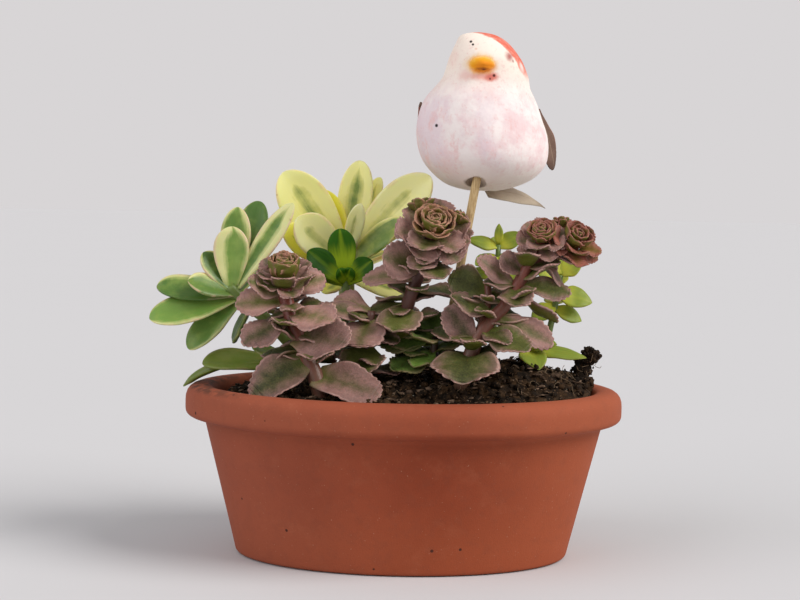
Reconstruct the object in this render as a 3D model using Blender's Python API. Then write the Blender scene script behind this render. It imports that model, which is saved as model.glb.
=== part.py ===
"""Oval terracotta pot planted with stonecrops and variegated rosettes, with a small bird on a stick.

Blender 4.5, metres, +Z up. The pot stands on z = 0 with its centre over the origin, its long axis
along X, and its front towards -Y. All sizes below are millimetres and degrees.
"""

import math
import random
from collections import namedtuple

import bmesh
import bpy
from mathutils import Vector

MM = 0.001
GAP = 0.35

# Pot
POT_HALF_LENGTH = 90.0
POT_HALF_DEPTH = 65.0
POT_HEIGHT = 69.6
BAND_HEIGHT = 13.0
BAND_OVERHANG = 7.5
RIM_THICKNESS = 12.0
WALL_THICKNESS = 7.0
BASE_INSET = 21.5
FLOOR_THICKNESS = 8.0
DRAIN_RADIUS = 5.0
DRAIN_OFFSET = 32.0
DRAIN_SIDES = 12
POT_SIDES = 40

# Soil: its height at the wall, and what it gains in the middle, at the back and in the heap on the right
SOIL_EDGE = 63.5
SOIL_CROWN = 10.0
SOIL_RISE_TO_BACK = 2.0
SOIL_HEAP = 11.0
SOIL_HEAP_AT = (52.0, -4.0)
SOIL_HEAP_REACH = (26.0, 24.0)
SOIL_LUMP = 0.9
SOIL_SIDES = 32
SOIL_RINGS = (1.0, 0.88, 0.74, 0.55, 0.32, 0.1)
CRUMB_SWELL = (0.82, 1.12)
CRUMB_SEED = 5
HOLE_BELOW = 1.0
HOLE_ABOVE = 10.0
HOLE_SIDES = 10
CLUMP_LUMPS = ((68, 6, 70.5, 7.5), (74.5, 8, 77, 5.6), (78, 6, 82.5, 4.4), (63, -3, 72, 6.5))

# Bird and its stick
STICK_RADIUS = 1.75
STICK_FOOT = (12.6, 7.0, 59.0)
STICK_AT_SOIL = (14.7, 5.8, 72.0)
STICK_TOP = (30.4, -3.0, 169.0)
BIRD_BASE = 150.7
BIRD_RECESS_RADIUS = 4.5
BIRD_RECESS_DEPTH = 6.4
SOCKET_SIDES = 14
STICK_SIDES = 10

# Leaf and plate outlines: share of the width at the foot, widest place, tip (0.5 round, 1 pointed),
# thickness, cupping, teeth a side, how deep they are cut, and where they start
Leaf = namedtuple("Leaf", "foot widest tip thick cup teeth cut start")
SCALLOPED = Leaf(0.22, 0.60, 0.50, 1.5, 0.16, 3, 0.10, 0.50)
SPOON = Leaf(0.36, 0.64, 0.55, 2.4, 0.26, 0, 0.0, 0.0)
POINTED = Leaf(0.34, 0.42, 0.85, 1.7, 0.14, 0, 0.0, 0.0)
BROAD = Leaf(0.55, 0.52, 0.50, 1.5, 0.14, 3, 0.10, 0.50)
WING = Leaf(0.55, 0.55, 0.60, 1.5, 0.0, 0, 0.0, 0.0)
TAIL_PLATE = Leaf(0.80, 0.22, 1.30, 1.5, 0.0, 0, 0.0, 0.0)

# A stem is its line of points, foot first, and its radius at foot and top. Each leaf is the height at
# which it leaves the stem, its heading (0 right, 90 back, 180 left, 270 front), its rise, its length and
# width, how far its upper side leans from up to the front, and how far it curls up along its length.
LEFT_STEM = (
    (-32, -27, 60), (-34, -27, 72), (-39, -24, 84), (-44, -20, 94), (-48, -16, 105), (-49, -14, 113),
)
LEFT_STEM_RADII = (3.4, 2.8)
LEFT_LEAVES = (
    (110, 15, 12, 17, 13, 65, 8),
    (108, 198, 12, 17, 12, 50, 15),
    (111, 172, 26, 12, 10, 50, 15),
    (104, 186, 0, 21, 14, 45, -10),
    (103, 85, 10, 16, 13, 0, 0),
    (100, -42, -4, 25, 17, 45, 0),
    (100, 110, 0, 18, 14, 0, -8),
    (98, 203, -25, 23, 15, 38, -5),
    (88, 105, -8, 16, 14, 0, -10),
)
LEFT_BROAD_LEAVES = (
    (91, -40, -2, 27, 21, 55, 0),
    (76, -26, -10, 30, 20, 42, -5),
    (83, 202, -33, 28, 19, 45, 0),
)
LEFT_HEAD = ((-49, -14, 113), 270, 68, 0.84, 1.4)

CENTRE_STEM = ((-1, 1, 60), (-1, 0, 72), (-1, -3, 88), (1, -6, 104), (6, -8, 118), (11, -9, 132))
CENTRE_STEM_RADII = (3.2, 2.5)
CENTRE_LEAVES = (
    (119, 205, 12, 19, 17, 70, 8),
    (122, -62, -24, 17, 14, 25, 0),
    (124, -105, -28, 13, 13, 5, 5),
    (126, -12, 12, 18, 12, 55, 5),
    (115, 180, -4, 23, 13, 35, 0),
    (102, -106, -24, 22, 20, 12, 5),
    (112, 85, 5, 15, 12, 0, 0),
    (100, 95, 0, 16, 13, 0, 0),
)
CENTRE_HEAD = ((10.8, -10, 134), 278, 48, 1.06, 1.0)

RIGHT_STEM = (
    (22, -20, 60), (23, -21, 72), (26, -22, 84), (31, -20, 95),
    (40, -17, 105), (46, -15, 115), (53, -14, 129),
)
RIGHT_STEM_RADII = (3.4, 2.2)
RIGHT_LEAVES = (
    (101, 190, 12, 18, 12, 30, 5),
    (95, -35, -18, 23, 16, 35, 0),
    (101, -10, -28, 26, 13, 55, 5),
    (98, 18, -10, 20, 13, -20, 0),
    (112, -95, -35, 14, 15, 5, 10),
    (113, -8, -8, 22, 12, 45, 0),
    (112, 185, 34, 20, 11, 45, 5),
    (118, 192, 28, 13, 11, 60, 20),
    (120, -15, 5, 14, 10, 20, 10),
    (110, -2, -33, 22, 10, -20, 0),
    (108, 100, 5, 18, 12, 0, 0),
    (84, -100, 8, 24, 28, 5, -60),
    (84, 60, -5, 18, 12, 0, 0),
    (88, 182, 55, 20, 13, 80, -15),
)
RIGHT_HEAD = ((54.5, -14, 132), 262, 55, 0.72, 1.1)
SIDE_HEAD_STEM = ((49, -14, 121), (57, -12, 125), (66, -11, 130))
SIDE_HEAD_STEM_RADII = (1.8, 1.8)
SIDE_HEAD_LEAVES = (
    (123, 0, -42, 17, 10, 10, -10),
    (125, 2, -6, 15, 10, 25, -5),
)
SIDE_HEAD = ((66.5, -11, 131.5), 290, 66, 0.66, 1.2)
LEFT_BRANCH = ((29, -21, 90), (31, -18, 98), (33, -15, 106), (33, -13, 113))
LEFT_BRANCH_RADII = (2.0, 1.5)
LEFT_BRANCH_LEAVES = (
    (110, 180, 20, 17, 15, 65, -10),
    (100, 200, 30, 17, 12, 30, 0),
    (104, 175, 5, 14, 12, -30, -20),
)

MIDDLE_STEM = ((-16, -12, 60), (-16, -12, 72), (-15, -11, 90), (-14, -10, 101))
MIDDLE_STEM_RADII = (2.4, 1.8)
MIDDLE_LEAVES = (
    (101, 178, 20, 16, 12, 40, -12),
    (98, -104, -42, 20, 19, 0, 20),
    (87, -100, -40, 18, 20, 5, 10),
    (99, 200, 10, 23, 12, 40, -10),
    (92, 120, 0, 16, 12, 0, 0),
)

FOOT_SHOOT_STEM = ((13, -8, 60), (13, -9, 72), (12, -10, 82), (12, -11, 91))
FOOT_SHOOT_RADII = (2.2, 1.6)
FOOT_SHOOT_LEAVES = (
    (90, 180, -5, 19, 12, 40, -5),
    (92, 110, 40, 15, 12, 30, 5),
    (85, -125, -22, 16, 11, 20, 5),
    (91, 20, 20, 14, 10, 20, 5),
)

ROSETTE_STEM = ((-38, 8, 60), (-40, 8, 72), (-47, 8, 84), (-58, 3, 96), (-68, 1, 104), (-73, 0, 109))
ROSETTE_RADII = (2.6, 2.6)
ROSETTE_LEAVES = (
    (108, 95, 82, 26, 15, 92, 8),
    (108, 84, 67, 35, 13, 80, 20),
    (107, 58, 66, 41, 14, 75, 0),
    (107, 8, 57, 44, 9, 60, 0),
    (107, 160, 46, 21, 11, 40, 10),
    (106, 195, 12, 21, 12, 45, 10),
    (106, 178, 3, 33, 13, 50, 5),
    (105, 188, -18, 38, 15, 52, 12),
    (104, 192, -41, 30, 12, 50, -10),
    (101, 150, -62, 18, 9, 20, 0),
    (106, 75, 25, 27, 13, 0, 5),
    (105, 120, 10, 27, 12, 0, 5),
)

LOW_SHOOT_STEM = ((-45, -4, 60), (-46, -4, 70), (-48, -4, 77))
LOW_SHOOT_RADII = (2.2, 1.9)
LOW_SHOOT_LEAVES = (
    (76, 184, 12, 36, 13, 38, -24),
    (76.5, 180, 16, 48, 8, 20, -60),
    (76, 150, 30, 20, 9, 20, -10),
)

CREAM_STEM = ((-24, 27, 60), (-24, 27, 72), (-25, 28, 98), (-26, 28, 120))
CREAM_RADII = (3.2, 3.6)
CREAM_LEAVES = (
    (119, 184, 54, 47, 22, 80, 5),
    (121, 165, 70, 32, 14, 90, 5),
    (121, 56, 77, 44, 15, 90, 0),
    (120, 45, 61, 41, 9, 60, 0),
    (119, -2, 45, 52, 21, 62, 8),
    (117, -14, 38, 33, 12, 50, 8),
    (119, 197, 36, 31, 18, 70, 25),
    (117, 187, 26, 33, 15, 60, 20),
    (120, -50, 68, 27, 8, 85, 10),
    (114, -12, -24, 27, 13, 35, 15),
    (112, 20, -20, 26, 12, 20, 10),
    (113, 215, -35, 14, 10, 30, 10),
    (118, 110, 40, 36, 16, 0, 12),
    (118, 70, 28, 34, 15, 0, 10),
    (116, 140, 18, 33, 14, 0, 10),
    (116, 35, 12, 28, 13, 0, 8),
    (115, 95, 2, 30, 14, 0, 8),
)

SMALL_ROSETTE_STEM = ((-25, 5, 60), (-25, 5, 72), (-25, 6, 95), (-25, 7, 113))
SMALL_ROSETTE_RADII = (2.0, 1.8)
SMALL_ROSETTE_LEAVES = (
    (112, 150, 81, 22, 12, 90, 0),
    (111, 186, 38, 21, 11, 60, 8),
    (111, -12, 40, 15, 10, 60, 5),
    (111, -60, 55, 9, 6, 70, 20),
    (111, -125, 50, 9, 6, 70, 20),
    (110, 168, 20, 18, 9, 30, 5),
    (110, 100, 30, 15, 10, 20, 8),
    (110, 40, 32, 15, 9, 20, 8),
)

BACK_SHOOTS = {
    "green_shoot_middle": (
        ((36, 17, 60), (37, 17, 72), (38, 18, 104), (39, 18, 128)),
        (
            (126, 180, 14, 12, 8, 50, 10),
            (127, 10, 22, 10, 8, 50, 10),
            (124, 215, -25, 11, 8, 40, 10),
            (123, -30, -5, 10, 7, 40, 10),
            (126, 90, 25, 11, 8, 0, 10),
            (116, 0, -5, 15, 8, 40, 5),
            (116, 180, -5, 13, 8, 40, 5),
            (110, 90, 10, 13, 8, 0, 5),
            (128, 90, 86, 9, 4, 90, 0),
        ),
    ),
    "green_shoot_right": (
        ((56, 14, 60), (57, 14, 72), (61, 14, 92), (64, 13, 108), (65, 12, 116)),
        (
            (108, -5, -12, 15, 11, 50, -5),
            (115, 190, 10, 11, 8, 50, 5),
            (116, 10, 35, 11, 9, 50, 5),
            (103, 195, -30, 12, 9, 50, 5),
            (102, 5, -25, 13, 8, 50, 0),
            (112, 90, 20, 12, 9, 0, 5),
            (104, 90, 0, 13, 9, 0, 5),
            (116, 120, 60, 10, 7, 40, 5),
        ),
    ),
    "green_shoot_low": (
        ((47, 4, 60), (48, 3, 72), (49.5, 2, 82), (52, 1, 89)),
        (
            (85, -8, -4, 25, 8, 35, -4),
            (87, -30, 5, 13, 8, 40, 0),
            (86, -75, -28, 16, 12, 20, 0),
            (86, 100, 20, 13, 8, 0, 5),
            (88, 150, 45, 9, 6, 30, 5),
        ),
    ),
}
SHOOT_RADII = (1.7, 1.1)

# A stonecrop head is its centre, its axis (heading and rise), its scale and its stretch along the axis. It
# is rings of lobed leaves, one skin folded from the outermost to the innermost: each ring's tilt from the
# axis, its reach, and the foot of the fold inside it, out from and along the axis.
HeadRing = namedtuple("HeadRing", "tilt reach foot_out foot_up")
HEAD_RINGS = (
    HeadRing(92, 15.0, 4.4, -2.6),
    HeadRing(74, 13.4, 3.8, -1.0),
    HeadRing(56, 11.4, 3.0, 0.6),
    HeadRing(38, 9.4, 2.0, 1.8),
    HeadRing(20, 8.0, 0.6, 6.6),
)
HEAD_LEAVES = 6
HEAD_STEM = (2.2, -5.0)
# Across each leaf of a ring: the reach of its edge there, and how far it laps over or under
HEAD_EDGE = ((0.70, 0.0), (0.96, 0.09), (0.92, 0.01), (1.0, -0.08))

# Bird sections: height over its underside, centre and half-width across, centre and half-depth along Y
BIRD_SECTIONS = (
    (0.0, 31.3, 5.5, 15.0, 6.0),
    (2.0, 31.5, 14.0, 15.0, 15.0),
    (6.0, 32.3, 21.0, 15.0, 22.0),
    (12.5, 32.0, 26.0, 15.5, 28.0),
    (21.0, 30.9, 27.6, 16.0, 30.0),
    (29.0, 29.7, 26.4, 15.0, 28.5),
    (37.0, 29.5, 23.4, 13.0, 25.0),
    (42.5, 30.1, 19.8, 11.0, 21.0),
    (47.0, 31.3, 17.6, 9.0, 18.0),
    (54.0, 30.8, 15.0, 7.5, 16.5),
    (60.0, 29.7, 11.4, 7.5, 13.0),
    (63.6, 28.2, 7.8, 8.0, 8.0),
    (65.0, 27.6, 2.8, 8.0, 3.0),
)
BIRD_SIDES = 22
BEAK_AT = (29.4, -8.6, 201.2)
BEAK_SIZE = (5.6, 4.8, 3.6)

# Wings and tail: base, direction, which way the flat side faces, length, width, curl
RIGHT_WING = ((55.3, 26.5, 186.5), (0.36, 0.22, -0.92), (0.93, -0.27, 0.15), 28, 15, -10)
LEFT_WING = ((4.6, 26, 188), (-0.08, 0.40, -0.91), (-0.98, 0.25, 0.05), 28, 14, -28)
TAIL = ((33, 30, 151), (28, 12, -0.6), (0.1, -0.66, 0.74), 35, 12.5, -20)

# Where a leaf without teeth has its cross-sections, and the sides of a stem
BLADE_STEPS = (0.0, 0.28, 0.54, 0.80)
ROUND_BLADE_STEPS = (0.0, 0.24, 0.46, 0.68, 0.87)
STEM_SIDES = 7


def clear_scene():
    for item in list(bpy.data.objects):
        bpy.data.objects.remove(item, do_unlink=True)


def material(name, colour, roughness, metallic=0.0):
    made = bpy.data.materials.new(name)
    made.use_nodes = True
    shader = made.node_tree.nodes["Principled BSDF"]
    shader.inputs["Base Color"].default_value = (*colour, 1.0)
    shader.inputs["Roughness"].default_value = roughness
    shader.inputs["Metallic"].default_value = metallic
    return made


def mesh_object(name, points, faces):
    """An object from millimetre points, with its faces turned outwards."""
    mesh = bpy.data.meshes.new(name)
    mesh.from_pydata([Vector(p) * MM for p in points], [], faces)
    work = bmesh.new()
    work.from_mesh(mesh)
    bmesh.ops.recalc_face_normals(work, faces=work.faces)
    work.to_mesh(mesh)
    work.free()
    made = bpy.data.objects.new(name, mesh)
    bpy.context.scene.collection.objects.link(made)
    return made


def finish(item, surface, sharp=45):
    item.data.materials.clear()
    item.data.materials.append(surface)
    item.data.shade_smooth()
    item.data.set_sharp_from_angle(angle=math.radians(sharp))
    return item


def loft(rings):
    """Closed skin through rings with the same number of points."""
    sides = len(rings[0])
    points = [p for ring in rings for p in ring]
    faces = []
    for low in range(0, sides * (len(rings) - 1), sides):
        for i in range(sides):
            j = (i + 1) % sides
            faces.append((low + i, low + j, low + sides + j, low + sides + i))
    faces.append(tuple(range(sides))[::-1])
    faces.append(tuple(range(len(points) - sides, len(points))))
    return points, faces


def combine(name, base, tools, operation, solver="EXACT"):
    """Applies one Boolean on a collection of tools to the base, and removes the tools."""
    held = bpy.data.collections.new(name + "_tools")
    for tool in tools:
        for home in list(tool.users_collection):
            home.objects.unlink(tool)
        held.objects.link(tool)
    bpy.context.scene.collection.children.link(held)
    step = base.modifiers.new("Boolean", "BOOLEAN")
    step.operation = operation
    step.operand_type = "COLLECTION"
    step.collection = held
    step.solver = solver
    bpy.context.view_layer.update()
    graph = bpy.context.evaluated_depsgraph_get()
    result = bpy.data.meshes.new_from_object(base.evaluated_get(graph))
    base.modifiers.clear()
    base.data = result
    base.name = name
    for tool in list(held.objects):
        bpy.data.objects.remove(tool, do_unlink=True)
    bpy.data.collections.remove(held)
    return base


def aim(heading, rise):
    """Unit vector: heading 0 right, 90 back, 180 left, 270 front; rise above the horizontal."""
    turn = math.radians(heading)
    lift = math.radians(rise)
    return Vector((math.cos(turn) * math.cos(lift), math.sin(turn) * math.cos(lift), math.sin(lift)))


def oval(inset, height, sides):
    """Points of the pot's oval, set in evenly from the rim."""
    a = POT_HALF_LENGTH - inset
    b = POT_HALF_DEPTH - inset
    turns = [2 * math.pi * i / sides for i in range(sides)]
    return [(a * math.cos(t), b * math.sin(t), height) for t in turns]


def inner_inset(height):
    """How far the inside of the pot's wall is set in at this height."""
    band_foot = POT_HEIGHT - BAND_HEIGHT
    share = min(1.0, height / band_foot)
    return BASE_INSET + WALL_THICKNESS + (BAND_OVERHANG - BASE_INSET) * share


def make_pot():
    top = POT_HEIGHT
    band = POT_HEIGHT - BAND_HEIGHT
    profile = (
        (BASE_INSET + 1.2, 0.0),
        (BASE_INSET, 1.4),
        (BAND_OVERHANG + 0.6, band - 2.4),
        (BAND_OVERHANG - 0.8, band),
        (0.6, band + 0.9),
        (0.0, band + 3.0),
        (0.0, top - 5.6),
        (1.4, top - 2.2),
        (4.6, top - 0.2),
        (RIM_THICKNESS - 3.4, top),
        (RIM_THICKNESS - 0.6, top - 2.0),
        (RIM_THICKNESS, top - 5.0),
        (inner_inset(band), band - 3.0),
        (inner_inset(FLOOR_THICKNESS) - 0.6, FLOOR_THICKNESS + 2.5),
        (inner_inset(FLOOR_THICKNESS) + 2.0, FLOOR_THICKNESS),
    )
    pot = mesh_object("pot", *loft([oval(inset, z, POT_SIDES) for inset, z in profile]))
    drains = []
    for x in (-DRAIN_OFFSET, DRAIN_OFFSET):
        run = ((x, 0, -FLOOR_THICKNESS), (x, 0, 2 * FLOOR_THICKNESS))
        drains.append(tube_object("drain", run, (DRAIN_RADIUS,) * 2, DRAIN_SIDES))
    combine("pot", pot, drains, "DIFFERENCE")
    return finish(pot, material("terracotta", (0.42, 0.135, 0.065), 0.78), 35)


def tube(path, radii, sides=STEM_SIDES):
    """Round skin along a line of points, from the first radius to the last, with flat ends."""
    line = [Vector(p) for p in path]
    rings = []
    for i, here in enumerate(line):
        along = (line[min(i + 1, len(line) - 1)] - line[max(i - 1, 0)]).normalized()
        across = along.cross(Vector((0, 1, 0))).normalized()
        other = along.cross(across)
        radius = radii[0] + (radii[1] - radii[0]) * i / (len(line) - 1)
        turns = [2 * math.pi * k / sides for k in range(sides)]
        rings.append([here + radius * (math.cos(t) * across + math.sin(t) * other) for t in turns])
    return loft(rings)


def tube_object(name, path, radii, sides=STEM_SIDES):
    return mesh_object(name, *tube(path, radii, sides))


def soil_level(x, y):
    """Height of the soil: low at the wall, crowned in the middle, heaped on the right."""
    a = POT_HALF_LENGTH - RIM_THICKNESS
    b = POT_HALF_DEPTH - RIM_THICKNESS
    out = min(1.0, (x / a) ** 2 + (y / b) ** 2)
    from_heap_x = (x - SOIL_HEAP_AT[0]) / SOIL_HEAP_REACH[0]
    from_heap_y = (y - SOIL_HEAP_AT[1]) / SOIL_HEAP_REACH[1]
    heap = SOIL_HEAP * math.exp(-from_heap_x ** 2 - from_heap_y ** 2) * (1 - out ** 4)
    lumps = math.sin(0.31 * x + 1.3) * math.cos(0.37 * y) + math.sin(0.17 * x - 0.41 * y)
    slope = SOIL_RISE_TO_BACK * y / b
    return SOIL_EDGE + SOIL_CROWN * (1 - out) + slope + heap + SOIL_LUMP * lumps * (1 - out * out)


def make_soil(stems):
    """The potting mix: it fills the pot, and stands clear of each stem in a plain hole."""
    foot = FLOOR_THICKNESS + GAP
    band = POT_HEIGHT - BAND_HEIGHT
    skins = [(inner_inset(FLOOR_THICKNESS) + 2.0 + GAP, foot),
             (inner_inset(FLOOR_THICKNESS) - 0.2 + GAP, foot + 2.8),
             (inner_inset(band) + GAP + 0.2, band - 3.0)]
    rings = [oval(inset, z, SOIL_SIDES) for inset, z in skins]
    edge = oval(RIM_THICKNESS + 0.9, 0, SOIL_SIDES)
    for share in SOIL_RINGS:
        rings.append([(x * share, y * share, soil_level(x * share, y * share)) for x, y, _ in edge])
    soil = mesh_object("soil", *loft(rings))
    draw = random.Random(CRUMB_SEED)
    lumps = [ball("lump", at, (size,) * 3, 1, draw) for *at, size in CLUMP_LUMPS]
    combine("soil", soil, lumps, "UNION")
    holes = []
    for path, radius in stems:
        low, high, after = (Vector(point) for point in path[:3])
        end = low - (high - low).normalized() * HOLE_BELOW
        over = high + (after - high).normalized() * HOLE_ABOVE
        holes.append(tube_object("hole", (end, low, high, over), (radius + GAP,) * 2, HOLE_SIDES))
    combine("soil", soil, holes, "DIFFERENCE")
    return finish(soil, material("potting_soil", (0.016, 0.012, 0.009), 0.95), 30)


def ball(name, centre, radii, detail, roughen=None):
    """A ball of triangles, with its corners pushed in and out if a random source is given."""
    work = bmesh.new()
    bmesh.ops.create_icosphere(work, subdivisions=detail, radius=1.0)
    points = []
    for corner in work.verts:
        swell = roughen.uniform(*CRUMB_SWELL) if roughen else 1.0
        points.append([middle + swell * size * c for middle, size, c in zip(centre, radii, corner.co)])
    faces = [tuple(corner.index for corner in face.verts) for face in work.faces]
    work.free()
    return mesh_object(name, points, faces)


def blade_share(along, kind):
    """Share of a leaf's full width at this place along it."""
    if along < kind.widest:
        share = kind.foot + (1 - kind.foot) * math.sin(along / kind.widest * math.pi / 2) ** 1.4
    else:
        share = (1 - ((along - kind.widest) / (1 - kind.widest)) ** 2) ** kind.tip
    if kind.teeth and along > kind.start:
        wave = abs(math.sin(math.pi * kind.teeth * (along - kind.start) / (1 - kind.start)))
        share *= 1 - kind.cut * (1 - wave)
    return share


def blade_steps(kind):
    """Where a leaf has its cross-sections: on each tooth and each notch, if it has any."""
    if not kind.teeth:
        return ROUND_BLADE_STEPS if kind.tip < 0.6 else BLADE_STEPS
    count = 2 * kind.teeth
    span = 1 - kind.start
    return (0.0, kind.start / 2, kind.start, *(kind.start + span * k / count for k in range(1, count)))


def blade(base, direction, face, length, width, curl, kind):
    """One leaf: four points a section, so both faces are split into triangles alike."""
    ahead = Vector(direction).normalized()
    up = (Vector(face) - ahead * Vector(face).dot(ahead)).normalized()
    across = ahead.cross(up)
    bend = math.radians(curl)

    def midline(along):
        if abs(bend) < 1e-4:
            return base + ahead * length * along
        turned = bend * along
        return base + (ahead * math.sin(turned) + up * (1 - math.cos(turned))) * length / bend

    points = []
    steps = blade_steps(kind)
    for along in steps:
        half = width / 2 * blade_share(along, kind)
        lift = up * math.cos(bend * along) - ahead * math.sin(bend * along)
        centre = midline(along)
        rim = centre + lift * kind.cup * half
        thick = kind.thick * (0.75 + 0.25 * math.sin(math.pi * along))
        points += [rim + across * half, centre + lift * thick / 2]
        points += [rim - across * half, centre - lift * thick / 2]
    faces = [(0, 1, 2), (0, 2, 3)]
    for low in range(0, 4 * (len(steps) - 1), 4):
        for edge, middle in ((0, 1), (2, 1), (2, 3), (0, 3)):
            faces.append((low + edge, low + middle, low + middle + 4))
            faces.append((low + edge, low + middle + 4, low + edge + 4))
    last = len(points) - 4
    points.append(midline(1.0))
    faces += [(last + i, last + (i + 1) % 4, last + 4) for i in range(4)]
    return points, faces


def stem_point(path, height):
    """The point of the stem's line at this height."""
    for low, high in zip(path, path[1:]):
        if height <= high[2]:
            break
    share = (height - low[2]) / (high[2] - low[2])
    return Vector(low).lerp(Vector(high), min(1.0, share))


def leaves_on(path, rows, kind):
    """The leaf solids of one stem, from its rows."""
    made = []
    for height, heading, rise, length, width, lean, curl in rows:
        turned = math.radians(lean)
        face = Vector((0, -math.sin(turned), math.cos(turned)))
        base = stem_point(path, height)
        shape = blade(base, aim(heading, rise), face, length, width, curl, kind)
        made.append(mesh_object("leaf", *shape))
    return made


def head_on(centre, heading, rise, scale, stretch):
    """A ruffled stonecrop head: rings of lapping leaves, steeper inwards, as one folded skin."""
    axis = aim(heading, rise)
    side = axis.cross(Vector((1, 0, 0))).normalized()
    other = axis.cross(side)
    spokes = HEAD_LEAVES * len(HEAD_EDGE)

    def spoke(i, out, up):
        turn = 2 * math.pi * i / spokes
        away = side * math.cos(turn) + other * math.sin(turn)
        return Vector(centre) + (axis * up * stretch + away * out) * scale

    folds = [[spoke(i, *HEAD_STEM) for i in range(spokes)]]
    for number, ring in enumerate(HEAD_RINGS):
        tilt = math.radians(ring.tilt)
        rim = []
        for i in range(spokes):
            share, lap = HEAD_EDGE[(i + 2 * number) % len(HEAD_EDGE)]
            run = ring.reach * share
            lift = ring.reach * lap
            out = run * math.sin(tilt) - lift * math.cos(tilt)
            up = run * math.cos(tilt) + lift * math.sin(tilt)
            rim.append(spoke(i, out, up))
        folds.append(rim)
        folds.append([spoke(i, ring.foot_out, ring.foot_up) for i in range(spokes)])
    return mesh_object("head", *loft(folds))


def fused(name, stem, parts, surface):
    """One body from a stem and all that grows from it."""
    combine(name, stem, parts, "UNION", "MANIFOLD")
    return finish(stem, surface, 50)


def make_purple_stems():
    purple = material("purple_stonecrop", (0.20, 0.115, 0.10), 0.6)
    stem = tube_object("stem", LEFT_STEM, LEFT_STEM_RADII)
    parts = leaves_on(LEFT_STEM, LEFT_LEAVES, SCALLOPED) + leaves_on(LEFT_STEM, LEFT_BROAD_LEAVES, BROAD)
    parts.append(head_on(*LEFT_HEAD))
    fused("purple_stem_left", stem, parts, purple)

    stem = tube_object("stem", CENTRE_STEM, CENTRE_STEM_RADII)
    parts = leaves_on(CENTRE_STEM, CENTRE_LEAVES, SCALLOPED) + [head_on(*CENTRE_HEAD)]
    fused("purple_stem_centre", stem, parts, purple)

    stem = tube_object("stem", RIGHT_STEM, RIGHT_STEM_RADII)
    parts = leaves_on(RIGHT_STEM, RIGHT_LEAVES, SCALLOPED) + [head_on(*RIGHT_HEAD)]
    parts.append(tube_object("branch", SIDE_HEAD_STEM, SIDE_HEAD_STEM_RADII))
    parts += leaves_on(SIDE_HEAD_STEM, SIDE_HEAD_LEAVES, SCALLOPED) + [head_on(*SIDE_HEAD)]
    parts.append(tube_object("branch", LEFT_BRANCH, LEFT_BRANCH_RADII))
    parts += leaves_on(LEFT_BRANCH, LEFT_BRANCH_LEAVES, SCALLOPED)
    fused("purple_stem_right", stem, parts, purple)

    stem = tube_object("stem", MIDDLE_STEM, MIDDLE_STEM_RADII)
    fused("purple_shoot_middle", stem, leaves_on(MIDDLE_STEM, MIDDLE_LEAVES, SCALLOPED), purple)

    green = material("green_stonecrop", (0.075, 0.13, 0.035), 0.6)
    stem = tube_object("stem", FOOT_SHOOT_STEM, FOOT_SHOOT_RADII)
    fused("low_shoot_centre", stem, leaves_on(FOOT_SHOOT_STEM, FOOT_SHOOT_LEAVES, SCALLOPED), green)


def make_rosettes():
    variegated = material("variegated_leaf", (0.20, 0.33, 0.12), 0.5)
    stem = tube_object("stem", ROSETTE_STEM, ROSETTE_RADII)
    fused("variegated_rosette_left", stem, leaves_on(ROSETTE_STEM, ROSETTE_LEAVES, SPOON), variegated)

    plain = material("plain_green_leaf", (0.12, 0.24, 0.05), 0.5)
    stem = tube_object("stem", LOW_SHOOT_STEM, LOW_SHOOT_RADII)
    fused("low_shoot_left", stem, leaves_on(LOW_SHOOT_STEM, LOW_SHOOT_LEAVES, SPOON), plain)

    cream = material("cream_leaf", (0.72, 0.70, 0.28), 0.5)
    stem = tube_object("stem", CREAM_STEM, CREAM_RADII)
    fused("cream_rosette_back", stem, leaves_on(CREAM_STEM, CREAM_LEAVES, SPOON), cream)

    dark = material("dark_green_leaf", (0.03, 0.12, 0.015), 0.45)
    stem = tube_object("stem", SMALL_ROSETTE_STEM, SMALL_ROSETTE_RADII)
    fused("green_rosette_small", stem, leaves_on(SMALL_ROSETTE_STEM, SMALL_ROSETTE_LEAVES, SPOON), dark)


def make_back_shoots():
    for name, (path, rows) in BACK_SHOOTS.items():
        fresh = material(name, (0.20, 0.30, 0.045), 0.5)
        stem = tube_object("stem", path, SHOOT_RADII)
        fused(name, stem, leaves_on(path, rows, POINTED), fresh)


def make_bird():
    paint = material("painted_foam", (0.80, 0.68, 0.66), 0.7)
    turns = [2 * math.pi * i / BIRD_SIDES for i in range(BIRD_SIDES)]
    rings = []
    for over, x, half_width, y, half_depth in BIRD_SECTIONS:
        height = BIRD_BASE + over
        rings.append([(x + half_width * math.cos(t), y + half_depth * math.sin(t), height) for t in turns])
    body = mesh_object("bird_body", *loft(rings))
    combine("bird_body", body, [ball("beak", BEAK_AT, BEAK_SIZE, 1)], "UNION")
    foot = Vector(STICK_FOOT)
    top = Vector(STICK_TOP)
    run = (top - foot).normalized()
    at_base = foot + run * ((BIRD_BASE - foot.z) / run.z)
    below = at_base - run * BIRD_RECESS_RADIUS
    ceiling = at_base + run * BIRD_RECESS_DEPTH
    socket = tube_object("socket", (below, top + run * GAP), (STICK_RADIUS + GAP,) * 2, SOCKET_SIDES)
    recess = tube_object("recess", (below, ceiling), (BIRD_RECESS_RADIUS,) * 2, SOCKET_SIDES)
    combine("bird_body", body, [socket, recess], "DIFFERENCE")
    finish(body, paint, 60)
    stick = tube_object("bird_stick", (foot, top), (STICK_RADIUS,) * 2, STICK_SIDES)
    finish(stick, material("bamboo", (0.62, 0.43, 0.20), 0.6), 40)
    feather = material("painted_feather", (0.30, 0.20, 0.15), 0.8)
    plates = (("bird_wing_right", RIGHT_WING, WING), ("bird_wing_left", LEFT_WING, WING),
              ("bird_tail", TAIL, TAIL_PLATE))
    for name, (base, *shape), kind in plates:
        finish(mesh_object(name, *blade(Vector(base), *shape, kind)), feather, 30)


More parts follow.
